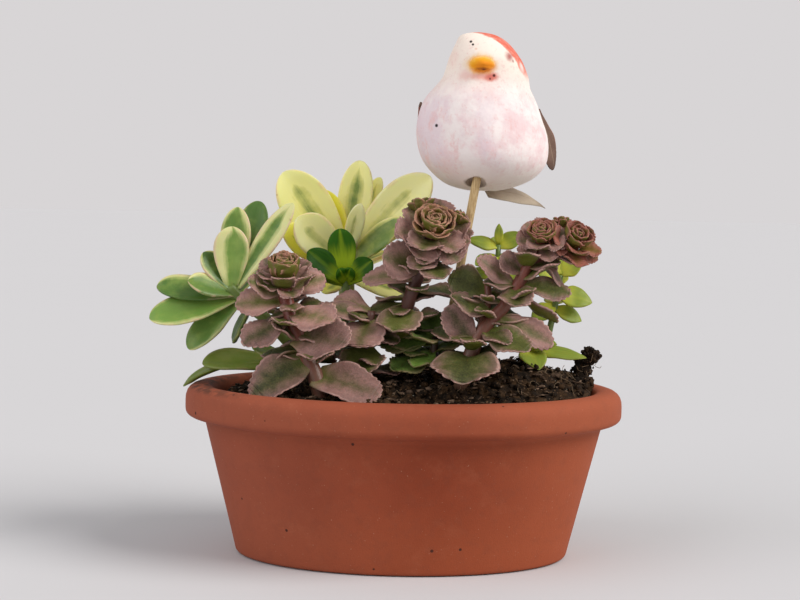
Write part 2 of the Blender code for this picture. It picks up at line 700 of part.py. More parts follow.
def main():
    clear_scene()
    make_pot()
    stems = [
        (LEFT_STEM, LEFT_STEM_RADII[0]),
        (CENTRE_STEM, CENTRE_STEM_RADII[0]),
        (RIGHT_STEM, RIGHT_STEM_RADII[0]),
        (MIDDLE_STEM, MIDDLE_STEM_RADII[0]),
        (FOOT_SHOOT_STEM, FOOT_SHOOT_RADII[0]),
        (ROSETTE_STEM, ROSETTE_RADII[0]),
        (LOW_SHOOT_STEM, LOW_SHOOT_RADII[0]),
        (CREAM_STEM, CREAM_RADII[0]),
        (SMALL_ROSETTE_STEM, SMALL_ROSETTE_RADII[0]),
        ((STICK_FOOT, STICK_AT_SOIL, STICK_TOP), STICK_RADIUS),
    ]
    stems += [(path, SHOOT_RADII[0]) for path, _ in BACK_SHOOTS.values()]
    make_soil(stems)
    make_purple_stems()
    make_rosettes()
    make_back_shoots()
    make_bird()


main()
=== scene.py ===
"""Oval terracotta pot of mixed succulents with a small bird on a stick: how it looks.

Metres, +Z up, front towards -Y. The tables hold millimetres and degrees, colours are linear red,
green and blue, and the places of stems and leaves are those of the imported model.
"""

import math
import random
from collections import namedtuple

import bmesh
import bpy
from mathutils import Matrix, Vector, noise


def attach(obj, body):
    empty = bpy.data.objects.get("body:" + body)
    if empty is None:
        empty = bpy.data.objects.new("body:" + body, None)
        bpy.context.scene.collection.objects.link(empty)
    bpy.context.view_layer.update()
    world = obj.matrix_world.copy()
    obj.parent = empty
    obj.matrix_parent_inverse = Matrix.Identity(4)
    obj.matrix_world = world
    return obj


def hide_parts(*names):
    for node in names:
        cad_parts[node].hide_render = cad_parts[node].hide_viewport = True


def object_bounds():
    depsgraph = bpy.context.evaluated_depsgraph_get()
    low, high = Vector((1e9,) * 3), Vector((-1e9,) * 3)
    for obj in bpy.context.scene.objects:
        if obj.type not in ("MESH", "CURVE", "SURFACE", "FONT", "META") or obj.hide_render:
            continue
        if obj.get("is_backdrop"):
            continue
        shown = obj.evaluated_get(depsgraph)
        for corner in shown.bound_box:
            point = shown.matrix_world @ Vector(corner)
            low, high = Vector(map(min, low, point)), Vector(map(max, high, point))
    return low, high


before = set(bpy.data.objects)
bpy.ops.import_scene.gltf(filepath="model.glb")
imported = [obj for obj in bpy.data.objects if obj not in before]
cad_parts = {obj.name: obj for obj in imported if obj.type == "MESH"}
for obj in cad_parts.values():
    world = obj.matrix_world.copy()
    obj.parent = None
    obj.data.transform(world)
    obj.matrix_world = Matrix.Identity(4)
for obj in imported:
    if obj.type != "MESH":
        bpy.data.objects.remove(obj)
cad_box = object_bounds()
MM = 0.001

# Pot
# One shell of fired terracotta, pressed in an oval mould and left unglazed, with a thick rounded rim band
# and two drain holes. Its section is turned once round and then drawn in to the oval.
POT_HALF_LENGTH, POT_HALF_DEPTH, POT_HEIGHT = 90.0, 65.0, 69.6
DRAIN_OFFSET, DRAIN_RADIUS = 32.0, 5.0
CHIPPED_AT = (-0.0625, -0.0335, 0.0205)
# How far the hand-finished wall strays from true, at what scale, and below which height it settles
STRAY, STRAY_SCALE, STRAY_FROM = 0.0018, 24, 0.006
# Corners of the section: distance in from the rim, height, how far back from the corner its curve starts
POT_SECTION = (
    (34.0, 0.0, 0.0),
    (21.5, 0.0, 1.8),
    (7.9, 55.2, 2.2),
    (0.0, 57.3, 2.6),
    (0.0, POT_HEIGHT, 6.4),
    (12.0, POT_HEIGHT, 4.6),
    (12.4, 60.0, 3.0),
    (14.5, 53.6, 3.0),
    (26.5, 8.0, 4.0),
    (40.0, 8.0, 0.0),
)


def rounded(corners, steps=6):
    """The line through the corners, each turned in a smooth curve."""
    line = [corners[0][:2]]
    for before, here, after in zip(corners, corners[1:], corners[2:]):
        middle = Vector(here[:2])
        start = middle + (Vector(before[:2]) - middle).normalized() * here[2]
        end = middle + (Vector(after[:2]) - middle).normalized() * here[2]
        for i in range(steps + 1):
            t = i / steps
            line.append(start.lerp(middle, t).lerp(middle.lerp(end, t), t)[:])
    return [*line, corners[-1][:2]]


def piece_from(name, shape, *finishes):
    """Makes a piece of the object from a shape, with its faces turned outwards."""
    bmesh.ops.recalc_face_normals(shape, faces=shape.faces)
    mesh = bpy.data.meshes.new(name)
    shape.to_mesh(mesh)
    shape.free()
    for finish in finishes:
        mesh.materials.append(finish)
    mesh.shade_smooth()
    piece = bpy.data.objects.new(name, mesh)
    bpy.context.scene.collection.objects.link(piece)
    return piece


def join_to(shape, bit):
    """Moves a small shape's faces into a larger one."""
    mesh = bpy.data.meshes.new("bit")
    bit.to_mesh(mesh)
    bit.free()
    shape.from_mesh(mesh)
    bpy.data.meshes.remove(mesh)


def cut_out(piece, cutter):
    """Cuts the second piece's shape from the first, and removes it."""
    cut = piece.modifiers.new("cut", "BOOLEAN")
    cut.operation = "DIFFERENCE"
    cut.solver = "EXACT"
    cut.object = cutter
    bpy.context.view_layer.update()
    graph = bpy.context.evaluated_depsgraph_get()
    mesh = bpy.data.meshes.new_from_object(piece.evaluated_get(graph))
    piece.modifiers.clear()
    piece.data = mesh
    bpy.data.objects.remove(cutter, do_unlink=True)


class Value:
    """An output of a shader node, which can be added, multiplied and so on like a number."""

    def __init__(self, socket):
        self.socket = socket

    def __add__(self, other):
        return calc("ADD", self, other)

    def __sub__(self, other):
        return calc("SUBTRACT", self, other)

    def __mul__(self, other):
        return calc("MULTIPLY", self, other)

    def __abs__(self):
        return calc("ABSOLUTE", self)


def place(kind, sockets=None, output=0, tree=None, **settings):
    """Adds a shader node beside the values that feed its sockets, and gives one of its outputs."""
    sockets = sockets or {}
    fed = {name: value.socket for name, value in sockets.items() if isinstance(value, Value)}
    if tree is None:
        tree = next(iter(fed.values())).id_data
    node = tree.nodes.new("ShaderNode" + kind)
    for name, value in settings.items():
        setattr(node, name, value)
    for name, value in sockets.items():
        if name in fed:
            tree.links.new(fed[name], node.inputs[name])
        else:
            node.inputs[name].default_value = value
    return Value(node.outputs[output])


def calc(operation, first, second=0.0):
    return place("Math", {0: first, 1: second}, operation=operation)


def blend(share, first, second, way="MIX"):
    """Colour between two, or the second laid over the first in another way."""
    first, second = (c if isinstance(c, Value) else (*c, 1.0) for c in (first, second))
    return place("Mix", {0: share, 6: first, 7: second}, 2, data_type="RGBA", blend_type=way)


def ease(value, low, high):
    """0 below low, 1 above high, and smooth between. Low may be the larger."""
    return place("MapRange", {0: value, 1: low, 2: high}, interpolation_type="SMOOTHSTEP")


def cloud(where, scale, detail=4.0, rough=0.55):
    return place("TexNoise", {"Vector": where, "Scale": scale, "Detail": detail, "Roughness": rough}, "Fac")


def on_object(part):
    """The place on the object, for the tree that this shader or tree is part of."""
    return place("TexCoord", output="Object", tree=part.id_data)


def split(vector):
    return [Value(output) for output in place("SeparateXYZ", {0: vector}).socket.node.outputs]


def stretched(where, scale):
    return place("Mapping", {"Vector": where, "Scale": scale})


def bumps(height, strength, distance):
    return place("Bump", {"Height": height, "Strength": strength, "Distance": distance})


def plain_finish(name, **sockets):
    """A material, and its one shader with some of its values set."""
    finish = bpy.data.materials.new(name)
    finish.use_nodes = True
    shader = finish.node_tree.nodes["Principled BSDF"]
    for socket, value in sockets.items():
        shader.inputs[socket.replace("_", " ")].default_value = value
    return finish, shader


def feed(shader, **outputs):
    for socket, output in outputs.items():
        shader.id_data.links.new(output.socket, shader.inputs[socket.replace("_", " ")])


pot_shape = bmesh.new()
section = [
    pot_shape.verts.new(((POT_HALF_LENGTH - inset) * MM, 0, height * MM))
    for inset, height in rounded(POT_SECTION)
]
runs = [pot_shape.edges.new(pair) for pair in zip(section, section[1:])]
long_runs = [run for run in runs if run.calc_length() > 6 * MM]
bmesh.ops.subdivide_edges(pot_shape, edges=long_runs, cuts=9)
bmesh.ops.spin(
    pot_shape, geom=pot_shape.verts[:] + pot_shape.edges[:], cent=(0, 0, 0), axis=(0, 0, 1),
    angle=2 * math.pi, steps=144, use_merge=True,
)
bmesh.ops.holes_fill(pot_shape, edges=[edge for edge in pot_shape.edges if edge.is_boundary], sides=0)
for corner in pot_shape.verts:
    reach = math.hypot(corner.co.x, corner.co.y)
    drawn_in = (reach - (POT_HALF_LENGTH - POT_HALF_DEPTH) * MM) / reach
    corner.co.y *= drawn_in
    settled = min(1.0, corner.co.z / STRAY_FROM)
    uneven = 1 - STRAY * (0.5 + 0.5 * noise.noise(corner.co * STRAY_SCALE)) * settled
    corner.co.x *= uneven
    corner.co.y *= uneven

clay, shader = plain_finish("terracotta", Roughness=0.75, Specular_IOR_Level=0.2)
where = on_object(shader)
sideways, _, height = split(where)
clouds = cloud(where, 20, 5, 0.6)
body = blend(ease(clouds, 0.36, 0.64), (0.32, 0.065, 0.026), (0.258, 0.049, 0.019))
# Painted light: the right end is made lighter and more orange, where the main light from the right falls.
key_lit_right = ease(sideways, 0.01, 0.08) * 0.55
body = blend(key_lit_right, body, (0.43, 0.112, 0.048))
# Painted light: the lower wall is made lighter, standing in for light thrown up from the pale floor.
foot = ease(height, 0.036, 0.006) * 0.5
body = blend(foot, body, (0.39, 0.092, 0.036))
# Painted light: the left end is made lighter and cooler, where the weaker fill light from the left falls.
fill_lit_left = ease(sideways, 0.02, -0.085) * 0.6
body = blend(fill_lit_left, body, (0.325, 0.094, 0.054))
# Painted light: the rim band is made lighter, as light from above falls on it.
lit_rim_band = ease(height, 0.0575, 0.06) * 0.35
body = blend(lit_rim_band, body, (0.345, 0.094, 0.048))
bloom = cloud(where, 85, 6, 0.7)
body = blend(ease(bloom, 0.5, 0.78) * 0.3, body, (0.42, 0.13, 0.068))
grit = cloud(where, 1500, 2, 0.7)
body = blend(ease(grit, 0.58, 0.74) * 0.3, body, (0.19, 0.042, 0.02))
pale = cloud(where, 1050, 1)
body = blend(ease(pale, 0.72, 0.8) * 0.5, body, (0.5, 0.24, 0.15))
spots = place("TexVoronoi", {"Vector": where, "Scale": 105, "Randomness": 1.0}, "Distance")
far = ease(cloud(where, 60), 0.4, 0.66) * -0.02 + spots
pit = ease(far, 0.07, 0.04)
body = blend(pit, body, (0.075, 0.022, 0.013))
spall = place("VectorMath", {0: where, 1: CHIPPED_AT}, "Value", operation="DISTANCE")
ragged = spall + cloud(where, 420, 3) * 0.009
spalled = ease(ragged, 0.0088, 0.0072) * ease(cloud(where, 900, 2), 0.44, 0.54)
body = blend(spalled, body, (0.075, 0.026, 0.018))
soiled = ease(height, 0.0672, 0.0692) * ease(sideways, -0.052, -0.083)
soiled = soiled * ease(cloud(where, 260, 5, 0.7), 0.38, 0.58)
body = blend(soiled * 0.75, body, (0.045, 0.026, 0.018))
damp = ease(cloud(where, 190, 4, 0.7), 0.5, 0.62) * 0.35
inside = ease(height, 0.07, 0.0685) * damp
body = blend(inside * 0.3, body, (0.16, 0.055, 0.035))
rough = bloom * 0.18 + 0.66
relief = pit * -2.2 + grit
relief = spalled * -2.5 + relief
relief = clouds * 2.0 + relief
feed(shader, Base_Color=body, Roughness=rough, Normal=bumps(relief, 0.3, 0.00025))

pot = piece_from("terracotta_pot", pot_shape, clay)
for x in (-DRAIN_OFFSET, DRAIN_OFFSET):
    drain_shape = bmesh.new()
    bmesh.ops.create_cone(
        drain_shape, cap_ends=True, segments=40, depth=30 * MM,
        radius1=DRAIN_RADIUS * MM, radius2=DRAIN_RADIUS * MM,
    )
    bmesh.ops.translate(drain_shape, verts=drain_shape.verts, vec=(x * MM, 0, 0))
    cut_out(pot, piece_from("drain", drain_shape))
pot.data.set_sharp_from_angle(angle=math.radians(50))
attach(pot, "root")
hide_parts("pot")

# Potting mix
# Dark peaty mix that fills the pot, crowned in the middle and heaped on the right, with crumbs, bark chips,
# dry fibres and a few pale specks on top. A clump of it stands up at the right end.
RIM_THICKNESS = 12.0
SOIL_INSET = 0.9
SOIL_EDGE, SOIL_CROWN, SOIL_RISE_TO_BACK, SOIL_LUMPS = 63.5, 10.0, 2.0, 0.9
SOIL_HEAP, HEAP_AT, HEAP_REACH = 11.0, (52.0, -4.0), (26.0, 24.0)
RIGHT_BANK, BANK_AT, BANK_REACH = 4.8, (74, 2), (11, 24)
# The block below: distance in from the rim, and height
SOIL_SKIRT = ((13.8, 59.0), (15.3, 53.6), (26.8, 11.2), (29.2, 8.4))
CLUMP = ((68, 6, 70.5, 7.5), (74.5, 8, 77, 5.6), (78, 6, 82.5, 4.4), (63, -3, 72, 6.5), (74, 5, 71, 6.5))
CRUMBS, FLAKES, FIBRES, SPECKS = 1800, 620, 72, 50
CLUMP_CRUMBS, CLUMP_FIBRES = 300, 26
# Larger chips along the front edge: place, length, and which finish they wear
PEAT, BARK, STRAW, SPECK = range(4)
FRONT_CHIPS = (
    (7.5, -51, 3.6, SPECK), (22, -50.5, 2.6, BARK), (38, -45.5, 3.0, BARK),
    (-3, -50.6, 2.8, BARK), (55, -38, 2.6, BARK), (30, -47.5, 2.2, BARK),
)
# Crumbs are made in batches, because a large shape takes each new one slowly
BATCH = 60


def soil_level(x, y):
    a, b = POT_HALF_LENGTH - RIM_THICKNESS, POT_HALF_DEPTH - RIM_THICKNESS
    out = min(1.0, (x / a) ** 2 + (y / b) ** 2)
    from_heap = ((x - HEAP_AT[0]) / HEAP_REACH[0]) ** 2 + ((y - HEAP_AT[1]) / HEAP_REACH[1]) ** 2
    heap = SOIL_HEAP * math.exp(-from_heap) * (1 - out**4)
    lumps = math.sin(0.31 * x + 1.3) * math.cos(0.37 * y) + math.sin(0.17 * x - 0.41 * y)
    slope = SOIL_RISE_TO_BACK * y / b
    sideways, back = (x - BANK_AT[0]) / BANK_REACH[0], (y - BANK_AT[1]) / BANK_REACH[1]
    banked = RIGHT_BANK * math.exp(-(sideways**2) - back**2)
    return SOIL_EDGE + SOIL_CROWN * (1 - out) + slope + heap + banked + SOIL_LUMPS * lumps * (1 - out * out)


def crumb(shape, at, sizes, draw, detail=1, finish=PEAT):
    """A rough lump or flake with its sizes along three axes, turned at random."""
    made = bmesh.ops.create_icosphere(shape, subdivisions=detail, radius=MM)["verts"]
    turn = Vector((draw.gauss(0, 1), draw.gauss(0, 1), draw.gauss(0, 3))).to_track_quat("Z", "Y")
    for corner in made:
        swell = draw.uniform(0.7, 1.2)
        point = Vector(c * size * swell for c, size in zip(corner.co, sizes))
        corner.co = turn @ point + Vector(at) * MM
        for face in corner.link_faces:
            face.material_index = finish


def stalk(shape, path, radii, sides=12, finish=0, tones=None, swell=0.0):
    """A round stem drawn along a path by extruding its end, from the first radius to the last."""
    line = smooth_path(path)
    made = bmesh.ops.create_circle(shape, cap_ends=True, segments=sides, radius=radii[0] * MM)["verts"]
    run = (line[1] - line[0]).normalized()
    turn = Vector((0, 0, 1)).rotation_difference(run)
    for corner in made:
        corner.co = line[0] * MM + turn @ corner.co
    ring = list({edge for corner in made for edge in corner.link_edges})
    rings = [made]
    for i in range(1, len(line)):
        ahead = (line[min(i + 1, len(line) - 1)] - line[i - 1]).normalized()
        turn = run.rotation_difference(ahead)
        run = ahead
        share = i / (len(line) - 1)
        knobs = 1 + swell * math.sin(2.2 * i) * math.cos(0.9 * i)
        radius = (radii[0] + (radii[1] - radii[0]) * share) * knobs
        made = bmesh.ops.extrude_edge_only(shape, edges=ring)["geom"]
        ring = [item for item in made if isinstance(item, bmesh.types.BMEdge)]
        made = [item for item in made if isinstance(item, bmesh.types.BMVert)]
        for corner in made:
            out = turn @ (corner.co - line[i - 1] * MM)
            corner.co = line[i] * MM + out.normalized() * radius * MM
        rings.append(made)
    bmesh.ops.edgeloop_fill(shape, edges=ring)
    for i, made in enumerate(rings):
        for corner in made:
            for face in corner.link_faces:
                face.material_index = finish
            if tones:
                tone = tones[0] + (tones[1] - tones[0]) * i / (len(rings) - 1)
                corner[shape.verts.layers.float["tone"]] = tone


def curve_at(before, start, end, after, t):
    """The point at a share t of the way from start to end, on a smooth curve through all four."""
    bend = 2 * before - 5 * start + 4 * end - after
    twist = 3 * start - before - 3 * end + after
    return 0.5 * (2 * start + (end - before) * t + bend * t**2 + twist * t**3)


def smooth_path(path, steps=5):
    """Points along a smooth curve through the path's points."""
    points = [Vector(p) for p in path]
    points = [points[0] * 2 - points[1], *points, points[-1] * 2 - points[-2]]
    line = []
    for four in zip(points, points[1:], points[2:], points[3:]):
        line += [curve_at(*four, i / steps) for i in range(steps)]
    return [*line, points[-2]]


def somewhere(draw, reach):
    """A random place on the soil, up to this share of the way to its edge."""
    turn, out = draw.uniform(0, 2 * math.pi), math.sqrt(draw.random()) * reach
    return edge_a * out * math.cos(turn), edge_b * out * math.sin(turn)


draw = random.Random(11)
soil_shape = bmesh.new()
bmesh.ops.create_grid(soil_shape, x_segments=190, y_segments=130, size=1.0)
edge_a = POT_HALF_LENGTH - RIM_THICKNESS - SOIL_INSET
edge_b = POT_HALF_DEPTH - RIM_THICKNESS - SOIL_INSET
for corner in soil_shape.verts:
    u, v = corner.co.x, corner.co.y
    x, y = u * math.sqrt(1 - v * v / 2), v * math.sqrt(1 - u * u / 2)
    inward = min(1.0, (1 - math.hypot(x, y)) * 14)
    x, y = x * edge_a, y * edge_b
    grain = noise.fractal(Vector((x, y, 3)) * 0.32, 1.0, 2.0, 4) * 1.1
    cells = noise.voronoi(Vector((x, y, 0)) * 0.42)[0][0]
    corner.co = Vector((x, y, soil_level(x, y) + inward * (grain + 1.3 * (0.45 - cells)))) * MM
rim = [edge for edge in soil_shape.edges if edge.is_boundary]
for inset, height in SOIL_SKIRT:
    made = bmesh.ops.extrude_edge_only(soil_shape, edges=rim)["geom"]
    rim = [item for item in made if isinstance(item, bmesh.types.BMEdge)]
    for corner in made:
        if isinstance(corner, bmesh.types.BMVert):
            turn = math.atan2(corner.co.y / edge_b, corner.co.x / edge_a)
            x, y = (POT_HALF_LENGTH - inset) * math.cos(turn), (POT_HALF_DEPTH - inset) * math.sin(turn)
            corner.co = Vector((x, y, height)) * MM
bmesh.ops.holes_fill(soil_shape, edges=rim, sides=0)

for number in range(CRUMBS + FLAKES + SPECKS):
    if number % BATCH == 0:
        bits = bmesh.new()
    x, y = somewhere(draw, 0.98)
    if number < CRUMBS:
        size = 0.35 + 1.9 * draw.random() ** 3
        sizes = [size * draw.uniform(0.6, 1.3) for _ in range(3)]
        crumb(bits, (x, y, soil_level(x, y) + 0.3 + size * 0.3), sizes, draw)
    elif number < CRUMBS + FLAKES:
        long = 0.9 + 2.3 * draw.random() ** 2
        crumb(bits, (x, y, soil_level(x, y) + 0.9), (long, long * 0.5, 0.28), draw, 1, BARK)
    else:
        crumb(bits, (x, y, soil_level(x, y) + 1.1), (0.35, 0.3, 0.25), draw, 1, SPECK)
    if number % BATCH == BATCH - 1 or number == CRUMBS + FLAKES + SPECKS - 1:
        join_to(soil_shape, bits)
bits = bmesh.new()
for x, y, long, finish in FRONT_CHIPS:
    crumb(bits, (x, y, soil_level(x, y) + 1.3), (long, long * 0.45, 0.5), draw, 2, finish)
for number in range(FIBRES):
    x, y = somewhere(draw, 0.95)
    if number % 4 == 0:
        x, y = draw.uniform(44, 72), draw.uniform(-30, 10)
    heading, long = draw.uniform(0, 2 * math.pi), draw.uniform(3, 8)
    path = []
    for i in range(4):
        heading += draw.uniform(-0.8, 0.8)
        path.append((x, y, soil_level(x, y) + 0.9 + draw.uniform(-0.4, 1.6) * (i in (1, 2))))
        x, y = x + math.cos(heading) * long / 3, y + math.sin(heading) * long / 3
    if all(math.hypot(px / edge_a, py / edge_b) < 0.99 for px, py, _ in path):
        strand = bmesh.new()
        stalk(strand, path, (0.13, 0.08), 5, STRAW)
        join_to(bits, strand)
for number in range(CLUMP_CRUMBS):
    x, y, z, size = CLUMP[number % len(CLUMP) if number % 7 else 2]
    away = Vector((draw.gauss(0, 1), draw.gauss(0, 1), draw.gauss(0.15, 1))).normalized()
    away = away * size * draw.uniform(0.45, 0.95)
    grain = draw.uniform(0.5, 1.25)
    sizes = [grain * draw.uniform(0.7, 1.3) for _ in range(3)]
    crumb(bits, Vector((x, y, z)) + away, sizes, draw, 1, BARK if number % 9 == 0 else PEAT)
for x, y, z, size in CLUMP:
    crumb(bits, (x, y, z), (size * 0.75,) * 3, draw, 3)
for number in range(CLUMP_FIBRES):
    x, y, z, size = CLUMP[number % 4]
    start = Vector((x, y, z)) + Vector((draw.gauss(0, 0.4), draw.gauss(-0.5, 0.3), draw.gauss(0, 0.4))) * size
    drop = Vector((draw.uniform(-3, 3), draw.uniform(-2.5, 0), draw.uniform(-4, 1.5)))
    bow = Vector((draw.uniform(-1.5, 1.5), -1.2, draw.uniform(-1, 1)))
    strand = bmesh.new()
    stalk(strand, (start, start + drop * 0.5 + bow, start + drop), (0.12, 0.08), 5, STRAW)
    join_to(bits, strand)
join_to(soil_shape, bits)

mix, shader = plain_finish("potting_mix", Roughness=0.9, Specular_IOR_Level=0.16)
where = on_object(shader)
dark = blend(ease(cloud(where, 210, 5, 0.65), 0.42, 0.68), (0.012, 0.0068, 0.0034), (0.066, 0.034, 0.014))
dark = blend(ease(cloud(where, 900, 3), 0.58, 0.7), dark, (0.16, 0.092, 0.048))
damp = cloud(where, 160, 3) * -0.55 + 1.05
feed(shader, Base_Color=dark, Roughness=damp, Normal=bumps(cloud(where, 1400, 5, 0.7), 0.9, 0.0007))

bark, shader = plain_finish("bark_flakes", Roughness=0.85, Specular_IOR_Level=0.2)
where = on_object(shader)
brown = blend(ease(cloud(where, 330, 3), 0.38, 0.66), (0.05, 0.029, 0.018), (0.27, 0.178, 0.118))
feed(shader, Base_Color=brown, Normal=bumps(cloud(stretched(where, (1, 4, 1)), 1200, 4), 0.6, 0.0004))

straw, shader = plain_finish("dry_fibres", Roughness=0.75)
brown = blend(cloud(on_object(shader), 420, 2), (0.1, 0.062, 0.034), (0.28, 0.19, 0.105))
feed(shader, Base_Color=brown)

speck, shader = plain_finish("pale_chips", Roughness=0.85)
grey = blend(cloud(on_object(shader), 700, 3), (0.115, 0.115, 0.085), (0.3, 0.29, 0.235))
feed(shader, Base_Color=grey, Normal=bumps(cloud(on_object(shader), 1500, 3), 0.5, 0.0003))

soil = piece_from("potting_mix", soil_shape, mix, bark, straw, speck)
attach(soil, "root")
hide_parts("soil")

# Purple stonecrops
# Fleshy stems with thick spoon-shaped leaves, scalloped towards the tip, dusty mauve over olive green with
# a thin pale pink rim, partly a painted highlight on the rounded edge, and a painted sheen near the
# margins. Each stem ends in a dense ruffled head. The leaves grow from the stem all round.
# A row is the height at which the leaf leaves its stem, its heading (0 right, 90 back, 180 left, 270 front),
# its rise, length, width, how far its upper side leans from up to the front, its curl, how mauve it is
# (0 green, 1 mauve) and how pale.
LEFT_STEM = ((-32, -27, 60), (-34, -27, 72), (-39, -24, 84), (-44, -20, 94), (-48, -16, 105), (-49, -14, 113))
LEFT_LEAVES = (
    (110, 15, 12, 17, 13, 65, 8, 0.75, 0.95),
    (108, 198, 12, 17, 12, 50, 15, 0.50, 0.55),
    (111, 172, 26, 12, 10, 50, 15, 0.80, 0.50),
    (104, 186, 0, 21, 14, 45, -10, 0.70, 0.95),
    (103, 85, 10, 16, 13, 0, 0, 0.50, 0.50),
    (100, -42, -4, 25, 17, 45, 0, 0.85, 0.85),
    (100, 110, 0, 18, 14, 0, -8, 0.50, 0.40),
    (98, 203, -25, 23, 15, 38, -5, 0.75, 0.16),
    (88, 105, -8, 16, 14, 0, -10, 0.40, 0.40),
    (84, 70, -12, 21, 15, 0, -5, 0.45, 0.30),
    (93, 130, 5, 19, 14, 10, 0, 0.50, 0.35),
    (94, 35, -4, 19, 14, 20, 0, 0.20, 0.18),
    (86, 158, -10, 19, 14, 20, 0, 0.15, 0.18),
)
LEFT_BROAD_LEAVES = (
    (91, -40, -2, 27, 21, 55, 0, 0.95, 0.24),
    (76, -26, -10, 30, 20, 42, -5, 0.90, 0.28),
    (83, 202, -33, 28, 19, 45, 0, 0.55, 0.04),
)
CENTRE_STEM = ((-1, 1, 60), (-1, 0, 72), (-1, -3, 88), (1, -6, 104), (6, -8, 118), (11, -9, 132))
CENTRE_LEAVES = (
    (119, 205, 12, 19, 17, 70, 8, 0.75, 0.45),
    (122, -62, -24, 17, 14, 25, 0, 0.35, 0.30),
    (124, -105, -28, 13, 13, 5, 5, 0.55, 0.45),
    (126, -12, 12, 18, 12, 55, 5, 0.80, 0.55),
    (115, 180, -4, 23, 13, 35, 0, 0.80, 0.80),
    (102, -106, -24, 22, 20, 12, 5, 0.30, 0.45),
    (112, 85, 5, 15, 12, 0, 0, 0.40, 0.40),
    (100, 95, 0, 16, 13, 0, 0, 0.40, 0.40),
    (106, 120, -5, 22, 15, 5, 0, 0.45, 0.30),
    (94, 75, -10, 22, 15, 0, 0, 0.35, 0.25),
    (110, 12, -8, 21, 14, 20, 0, 0.35, 0.12),
    (96, 2, -14, 22, 15, 15, 0, 0.15, 0.10),
    (104, 160, -15, 20, 14, 15, 0, 0.25, 0.14),
    (92, 195, -12, 20, 14, 20, 0, 0.10, 0.12),
)
RIGHT_STEM = (
    (22, -20, 60), (23, -21, 72), (26, -22, 84), (31, -20, 95),
    (40, -17, 105), (46, -15, 115), (53, -14, 129),
)
RIGHT_LEAVES = (
    (101, 190, 12, 18, 12, 30, 5, 0.30, 0.28),
    (95, -35, -18, 23, 16, 35, 0, 0.15, 0.24),
    (101, -10, -28, 26, 13, 55, 5, 0.80, 0.52),
    (98, 18, -10, 20, 13, -20, 0, 0.25, 0.34),
    (112, -95, -35, 14, 15, 5, 10, 0.45, 0.28),
    (113, -8, -8, 22, 12, 45, 0, 0.45, 0.32),
    (112, 185, 34, 20, 11, 45, 5, 0.90, 0.50),
    (118, 192, 28, 13, 11, 60, 20, 0.95, 0.15),
    (120, -15, 5, 14, 10, 20, 10, 0.60, 0.35),
    (110, -2, -33, 22, 10, -20, 0, 0.95, 0.10),
    (108, 100, 5, 18, 12, 0, 0, 0.50, 0.40),
    (98, 85, -5, 20, 14, 0, 0, 0.40, 0.30),
    (90, 110, -8, 20, 14, 0, 0, 0.35, 0.25),
    (84, -100, 8, 24, 28, 5, -60, 0.30, 0.06),
    (84, 60, -5, 18, 12, 0, 0, 0.30, 0.40),
    (88, 182, 55, 20, 13, 80, -15, 0.90, 0.15),
    (92, 165, 4, 20, 14, 20, 0, 0.15, 0.12),
    (106, 160, 10, 16, 12, 20, 0, 0.30, 0.18),
    (91, 25, -4, 19, 13, 20, 0, 0.10, 0.18),
    (104, 60, 8, 16, 12, 10, 0, 0.20, 0.20),
)
SIDE_STEM = ((49, -14, 121), (57, -12, 125), (66, -11, 130))
SIDE_LEAVES = ((123, 0, -42, 17, 10, 10, -10, 0.95, 0.50), (125, 2, -6, 15, 10, 25, -5, 0.90, 0.30))
LEFT_BRANCH = ((29, -21, 90), (31, -18, 98), (33, -15, 106), (33, -13, 113))
LEFT_BRANCH_LEAVES = (
    (110, 180, 20, 17, 15, 65, -10, 0.05, 0.12),
    (100, 200, 30, 17, 12, 30, 0, 0.40, 0.10),
    (104, 175, 5, 14, 12, -30, -20, 0.40, 0.30),
)
MIDDLE_STEM = ((-16, -12, 60), (-16, -12, 72), (-15, -11, 90), (-14, -10, 101))
MIDDLE_LEAVES = (
    (101, 178, 20, 16, 12, 40, -12, 0.90, 0.72),
    (98, -104, -42, 20, 19, 0, 20, 0.80, 0.62),
    (87, -100, -40, 18, 20, 5, 10, 0.00, 0.40),
    (99, 200, 10, 23, 12, 40, -10, 0.65, 0.30),
    (92, 120, 0, 16, 12, 0, 0, 0.40, 0.40),
    (95, 12, 2, 17, 13, 25, 0, 0.30, 0.22),
    (84, 165, -6, 18, 13, 25, 0, 0.20, 0.18),
)
FOOT_STEM = ((13, -8, 60), (13, -9, 72), (12, -10, 82), (12, -11, 91))
FOOT_LEAVES = (
    (90, 180, -5, 19, 12, 40, -5, 0.00, 0.15),
    (92, 110, 40, 15, 12, 30, 5, 0.00, 0.25),
    (85, -125, -22, 16, 11, 20, 5, 0.00, 0.85),
    (91, 20, 20, 14, 10, 20, 5, 0.10, 0.35),
    (88, 172, 2, 24, 16, 30, -5, 0.05, 0.10),
    (86, 75, 12, 19, 14, 10, 0, 0.00, 0.14),
    (83, 212, -14, 21, 15, 25, 0, 0.05, 0.12),
)
# A leaf's form: share of its width at the foot, widest place, tip (0.5 round, 1 pointed), thickness,
# cupping, teeth a side and their depth, waviness of the rim, points round it, rings along it, and finish
Form = namedtuple("Form", "foot widest tip thick cup teeth cut wave round rings skin", defaults=(1,))
SCALLOPED = Form(0.24, 0.60, 0.50, 1.7, 0.20, 5, 0.125, 0.22, 16, 46)
BROAD = Form(0.55, 0.52, 0.50, 1.8, 0.18, 7, 0.095, 0.20, 16, 54)
HEAD_LEAF = Form(0.45, 0.62, 0.46, 1.1, 0.42, 5, 0.12, 0.26, 12, 30, 2)
OUTER_LEAF = Form(0.40, 0.60, 0.46, 1.3, 0.24, 5, 0.14, 0.26, 14, 40)
# The share of a leaf's rings from its foot to its widest place
TO_WIDEST = 0.36
LANES = ("along", "across", "under", "tone", "shade", "seed")
